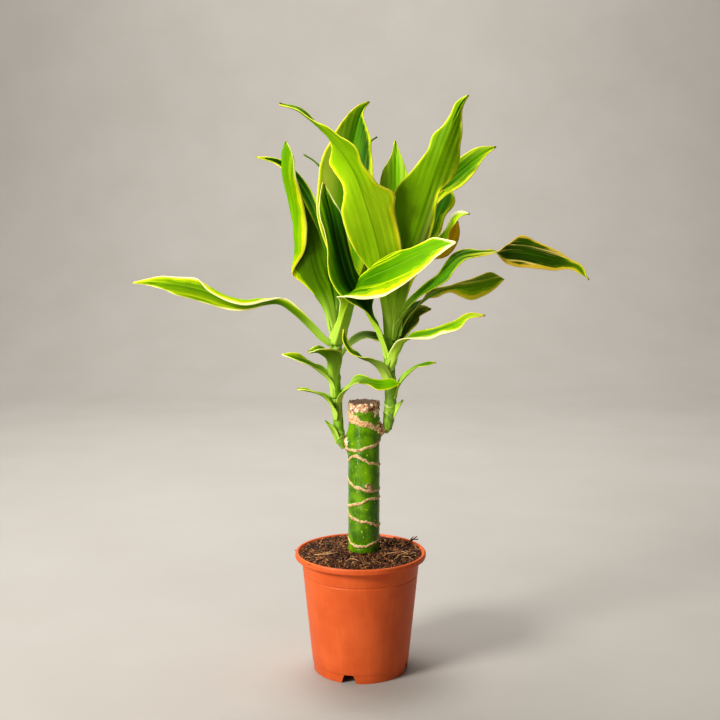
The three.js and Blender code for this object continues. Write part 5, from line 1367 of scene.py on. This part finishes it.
def make_pot():
    """The pot: a profile turned round the axis, with notches in the foot and drain holes."""
    corners = rounded(POT_PROFILE)
    line = [corners[0]]
    for a, b in zip(corners, corners[1:]):  # long stretches are divided, for the cuts
        parts = max(1, int(np.linalg.norm(b - a) / 4))
        line += [a + (b - a) * (k + 1) / parts for k in range(parts)]
    pot = mesh_object("pot_shell", *stacked([circle(*spot, 180) for spot in line[1:-1]]))
    cutters = [notch_cutter(i) for i in range(NOTCHES)]
    cutters += [drain_cutter(i) for i in range(DRAIN_HOLES + 1)]
    tool = mesh_object("pot_cutter", *joined(cutters))
    cut = pot.modifiers.new("cut", "BOOLEAN")
    cut.operation, cut.object, cut.solver = "DIFFERENCE", tool, "EXACT"
    pot.data.materials.append(pot_finish())
    piece = finished("pot_body", pot, "pot")
    bpy.data.objects.remove(tool)
    mesh = piece.data
    mesh.polygons.foreach_set("use_smooth", [True] * len(mesh.polygons))
    mesh.set_sharp_from_angle(angle=math.radians(42))


def pot_finish():
    """Satin orange plastic with faint moulding streaks, scuffs and a dusting of soil."""
    f = Finish("pot")
    spot = f.place()
    parts = f.add("ShaderNodeSeparateXYZ", {0: spot})
    clouds = f.noise(spot, 30.0, 3.0)
    streaks = f.noise(spot * (1.0, 1.0, 0.05), 5.0, 3.0)
    colour = f.blend(rgb(204, 92, 42), rgb(214, 102, 50), f.between(clouds, 0.35, 0.65))
    colour = f.blend(colour, rgb(232, 112, 56), f.between(streaks, 0.5, 0.75) * 0.35)
    marks = f.noise(spot + (8.0, 30.0, 4.0), 2.4, 5.0, 0.7)
    colour = f.blend(colour, rgb(240, 150, 104), f.between(marks, 0.68, 0.76) * 0.5)
    specks = f.noise(spot, 1.5, 2.0)
    high = f.between(parts["Z"], 88.0, 110.0)
    dust = f.between(specks + high * 0.05, 0.73, 0.79) * (0.25 + high * 0.75)
    colour = f.blend(colour, rgb(84, 42, 24), dust * 0.7)
    grain = f.noise(spot, 0.5, 2.0)
    gloss = f.between(clouds, 0.3, 0.7, 0.38, 0.5) + dust * 0.3
    return f.paint(colour, gloss, grain * 0.3 + streaks * 0.7, relief=0.18, Specular_IOR_Level=0.25)


# ---------------------------------------------------------------- soil
CRUMBS_PER_CM2 = 30
FIBRES_PER_CM2 = 1.7
CHIPS_PER_CM2 = 1.3
FIBRE_LENGTH = 15  # mm
FIBRE_RADIUS = 0.22
CLODS = 34
TWIG_SHADE, ROOT_SHADE = 0.55, 1.9
TWIG = [  # points and radii of a dry twig and its side twigs, over the right rim
    ([[38, 10, 109.5], [43, 13, 112], [47.5, 16, 114.5], [53, 19, 118]], [0.9, 0.8, 0.7, 0.4]),
    ([[46, 15, 113.8], [47.5, 15.5, 116.3], [49.5, 17, 118.3]], [0.7, 0.6, 0.35]),
    ([[49.5, 17.4, 115.8], [52.5, 16, 115.6], [54, 15, 116.6]], [0.55, 0.45, 0.3]),
]
ROOTS = [  # points and radii of the fine roots that lie on top
    ([[-42, -16, 110.6], [-36, -20, 112.4], [-28, -20, 112.8], [-20, -15, 112.6]],
     [0.35, 0.4, 0.4, 0.25]),
    ([[30, -30, 110.5], [35, -24, 113], [41, -19, 113.2], [45, -10, 112.4]],
     [0.3, 0.4, 0.35, 0.25]),
    ([[24, -20, 113.2], [30, -22, 114.4], [37, -16, 114], [43, -21, 112.6]],
     [0.3, 0.35, 0.35, 0.2]),
    ([[-14, -38, 111.2], [-8, -36, 113.2], [-2, -40, 112.6]], [0.25, 0.35, 0.25]),
]


def soil_dice(seed):
    """The repeatable random sequence that also places the clods of the solid soil."""
    while True:
        seed = (seed * 1664525 + 1013904223) % 4294967296
        yield seed / 4294967296


def soil_height(x, y):
    """The soil's top: heaped round the cane, with clods, and a hollow behind it to the right."""
    dice = soil_dice(7)
    z = SOIL_RIM_HEIGHT + SOIL_HEAP * bump(np.hypot(x - CANE_X, y + 4), 30)
    for _ in range(CLODS):
        turn, out = TURN * next(dice), 18 + 32 * math.sqrt(next(dice))
        high, wide = 0.8 + 2.2 * next(dice), 3 + 4 * next(dice)
        z = z + high * bump(np.hypot(x - out * math.cos(turn), y - out * math.sin(turn)), wide)
    z = z - 4 * bump(np.hypot(x - 25, y - 12), 8) + 2.5 * bump(np.hypot(x - 44, y + 14), 7)
    z = np.minimum(z, 115) + 0.7 * rough(x, y, 0, 7, 51) + 0.35 * rough(x, y, 0, 3, 52)
    rim = step(np.hypot(x, y), 49, 54)
    return z * (1 - rim) + (108.2 + 0.3 * rough(x, y, 0, 4, 53)) * rim


def soil_body():
    """The plug of soil that fills the pot, open where the cane stands in it."""
    columns, foot = 132, FLOOR_HEIGHT + 2
    side = (wall(foot) - 0.4, foot), (wall(102) - 0.4, 102), (wall(105) - 0.2, 105.9)
    rings = [circle(radius - WALL, z, columns) for radius, z in side]
    edge, hole = circle(SOIL_EDGE, 0, columns), circle(SOIL_HOLE, 0, columns, CANE_X)
    for share in np.linspace(1, 0, 58):
        ring = edge * share + hole * (1 - share)
        ring[:, 2] = soil_height(ring[:, 0], ring[:, 1])
        rings.append(ring)
    points, faces = stacked(rings)
    on_top = np.zeros(len(points))
    on_top[4 * columns: -(columns + 2)] = 1  # not the sides, the edges or the two ends
    return mesh_object("soil_plug", points, faces, top=on_top)


def scatter_tree():
    """Crumbs, bark chips and curled fibres strewn over the top of the soil."""
    tree, g, given = new_tree(
        "soil crumbs", Crumb_Density=float, Chip_Density=float, Fibre_Density=float,
        Fibre_Length=float, Fibre_Radius=float, Seed=int, Material=bpy.types.Material,
    )
    ground = given["Geometry"]
    on_top = g.maths("GREATER_THAN", named(g, "top"), 0.9)

    def dice(low, high, seed):
        """A random number, or vector, between two."""
        node = g.tree.nodes.new("FunctionNodeRandomValue")
        node.data_type = "FLOAT_VECTOR" if is_vector(low) else "FLOAT"
        live = [s for s in node.inputs if s.enabled]
        for socket, value in zip(live, (low, high)):
            g.feed(socket, value)
        g.feed(node.inputs["Seed"], given["Seed"] + seed)
        return Wire(g, next(s for s in node.outputs if s.enabled))

    def strewn(thing, density, seed, turned, scaled, shades):
        """Copies of a thing over the top, turned, scaled and shaded at random between two."""
        points = g.add(
            "GeometryNodeDistributePointsOnFaces",
            {"Mesh": ground, "Selection": on_top, "Density": given[density],
             "Seed": given["Seed"] + (seed + 1)},
        )
        copies = g.add(
            "GeometryNodeInstanceOnPoints",
            {"Points": points, "Instance": thing, "Scale": dice(*scaled, seed + 2),
             "Rotation": g.add("FunctionNodeEulerToRotation", {0: dice(*turned, seed)})},
        )
        return stored(g, copies, "shade", dice(*shades, seed + 3), "INSTANCE")

    crumb = g.add("GeometryNodeMeshIcoSphere", {"Radius": 1.0 * MM, "Subdivisions": 1})
    crumbs = strewn(
        crumb, "Crumb Density", 1, turned=((0, 0, 0), (6.3, 6.3, 6.3)),
        scaled=((0.5, 0.4, 0.35), (2.7, 2.0, 1.5)), shades=(0.0, 1.0),
    )
    chips = strewn(
        crumb, "Chip Density", 5, turned=((-0.5, -0.5, 0), (0.5, 0.5, 6.3)),
        scaled=((1.6, 0.8, 0.35), (3.8, 1.7, 0.7)), shades=(0.5, 1.5),
    )

    # fibres: short lines laid nearly flat, bent by noise and given a round section
    half = given["Fibre Length"] * 0.5
    line = g.add(
        "GeometryNodeCurvePrimitiveLine", {"Start": g.join(half * -1.0), "End": g.join(half)}
    )
    line = g.add("GeometryNodeResampleCurve", {"Curve": line, "Count": 9})
    fibres = strewn(
        line, "Fibre Density", 9, turned=((0, -0.22, 0), (0, 0.22, 6.3)),
        scaled=((0.3, 1, 1), (1.25, 1, 1)), shades=(0.5, 1.6),
    )
    fibres = g.add("GeometryNodeRealizeInstances", {"Geometry": fibres})
    spot = g.add("GeometryNodeInputPosition")
    sockets = {"Vector": spot, "Scale": 130.0, "Detail": 1.0}
    bend = g.add("ShaderNodeTexNoise", sockets, output="Color")
    fibres = g.add(
        "GeometryNodeSetPosition",
        {"Geometry": fibres, "Offset": (bend - (0.5, 0.5, 0.42)) * (0.016, 0.016, 0.011)},
    )
    section = g.add(
        "GeometryNodeCurvePrimitiveCircle", {"Resolution": 5, "Radius": given["Fibre Radius"]}
    )
    fibres = g.add(
        "GeometryNodeCurveToMesh", {"Curve": fibres, "Profile Curve": section, "Fill Caps": True}
    )

    whole = g.add("GeometryNodeJoinGeometry")
    for part in (ground, crumbs, chips, fibres):
        g.feed(whole.socket.node.inputs[0], part)
    end_tree(g, whole, given["Material"])
    return tree


def stick(path, radii, columns=7, rows=26):
    """Points and faces of a round stick along a path, thinner or thicker by its radii."""
    u = np.linspace(0, 1, rows)
    centre = keyed(path, u)
    knots = rough(centre[:, :1], centre[:, 1:2], turns(columns)[None] * 2, 2, 5)
    return stacked(wrapped(centre, keyed(radii, u)[:, None] * (1 + 0.15 * knots), [0, 0, 1]))


def make_soil():
    """The soil's body with all that is strewn on it, and the twig and roots on top."""
    finish = soil_finish()
    plug = soil_body()
    run_tree(
        plug, scatter_tree(), Crumb_Density=CRUMBS_PER_CM2 * 1e4, Chip_Density=CHIPS_PER_CM2 * 1e4,
        Fibre_Density=FIBRES_PER_CM2 * 1e4, Fibre_Length=FIBRE_LENGTH * MM,
        Fibre_Radius=FIBRE_RADIUS * MM, Seed=5, Material=finish,
    )
    finished("soil_bed", plug, "soil")
    sticks, shade = [stick(*given) for given in TWIG + ROOTS], []
    for number, (points, _) in enumerate(sticks):
        shade += [TWIG_SHADE if number < len(TWIG) else ROOT_SHADE] * len(points)
    settle(mesh_object("soil_twigs", *joined(sticks), finish, shade=shade), None)


def soil_finish():
    """Dark brown coir and bark; each crumb and fibre has a shade of its own."""
    f = Finish("soil")
    spot, shade = f.place(), f.read("shade")
    fine = f.noise(spot, 1.2, 4.0, 0.7)
    mixed = shade * 0.8 + (fine - 0.5) * 0.7 - 0.06
    colour = f.add("ShaderNodeValToRGB", {0: mixed}, stops=[
        (0.0, rgb(30, 14, 6)), (0.3, rgb(72, 40, 20)), (0.62, rgb(132, 84, 46)),
        (0.85, rgb(172, 118, 70)), (1.0, rgb(208, 164, 110)),
    ])
    return f.paint(colour, 0.92, fine, relief=0.5)


# ---------------------------------------------------------------- stage
CAMERA_SPOT = (-0.00054, -0.958, 0.395)  # metres, like all of this section
CAMERA_TILT = 83.54  # degrees from straight down
CAMERA_LENS = 53.4  # mm, on a 36 mm sensor
FLOOR_HALF = 5.0  # half the floor's breadth
FLOOR_FRONT = -3.0
SWEEP_START = 1.6  # where the floor begins to turn up into the wall
SWEEP_RADIUS = 1.2
WALL_TOP = 6.0
PLANT_MIDDLE = (0, 0, 0.3)
WARM, COOL = (1.0, 0.985, 0.95), (0.97, 0.98, 1.0)


def light(name, spot, aim, size, power, colour=(1, 1, 1)):
    """A round area light at a spot, turned to where it aims."""
    lamp = bpy.data.lights.new(name, "AREA")
    lamp.shape, lamp.size, lamp.energy, lamp.color = "DISK", size, power, colour
    made = placed(name, lamp)
    made.location = spot
    made.rotation_euler = (Vector(aim) - Vector(spot)).to_track_quat("-Z", "Y").to_euler()


def make_floor():
    """A floor that sweeps up into a plain wall far behind the plant."""
    sweep = [(FLOOR_FRONT, 0.0)]
    for turn in np.linspace(0, math.pi / 2, 24):
        across, up = SWEEP_RADIUS * math.sin(turn), SWEEP_RADIUS - SWEEP_RADIUS * math.cos(turn)
        sweep.append((SWEEP_START + across, up))
    sweep.append((SWEEP_START + SWEEP_RADIUS, WALL_TOP))
    points = [[x / MM, y / MM, z / MM] for y, z in sweep for x in (-FLOOR_HALF, FLOOR_HALF)]
    faces = [(2 * i, 2 * i + 1, 2 * i + 3, 2 * i + 2) for i in range(len(sweep) - 1)]
    f = Finish("pale floor")
    grain = f.noise(f.place(), 180.0, 3.0)
    finish = f.paint(f.blend(rgb(164, 158, 150), rgb(174, 169, 162), grain), 0.85)
    mesh_object("floor", points, faces, finish)


def make_stage():
    """The floor, the lights, the plain world and the camera where the photo was taken."""
    make_floor()
    light("key", (-1.3, -1.0, 1.15), PLANT_MIDDLE, 0.6, 34, WARM)
    light("fill", (1.3, -1.2, 0.8), PLANT_MIDDLE, 1.2, 0.8, COOL)
    light("low", (-0.9, -1.1, 0.25), (0, 0, 0.35), 0.6, 4.0, WARM)
    light("top", (-0.35, 0.35, 1.6), PLANT_MIDDLE, 0.9, 13)
    light("backdrop", (0, 1.0, 2.2), (0, 2.8, 0.5), 1.6, 50)
    world = bpy.data.worlds.new("studio")
    world.use_nodes = True
    sky = world.node_tree.nodes["Background"].inputs
    sky["Color"].default_value, sky["Strength"].default_value = (0.93, 0.92, 0.90, 1), 0.15
    bpy.context.scene.world = world
    view = bpy.context.scene.view_settings
    view.view_transform, view.look = "Standard", "Medium High Contrast"

    camera = placed("camera", bpy.data.cameras.new("camera"))
    camera.data.lens, camera.data.sensor_width = CAMERA_LENS, 36
    camera.location = CAMERA_SPOT
    camera.rotation_euler = (math.radians(CAMERA_TILT), 0, 0)
    bpy.context.scene.camera = camera


# ---------------------------------------------------------------- the whole plant
make_pot()
make_soil()
make_cane()
make_shoots()
make_leaves()
make_stage()
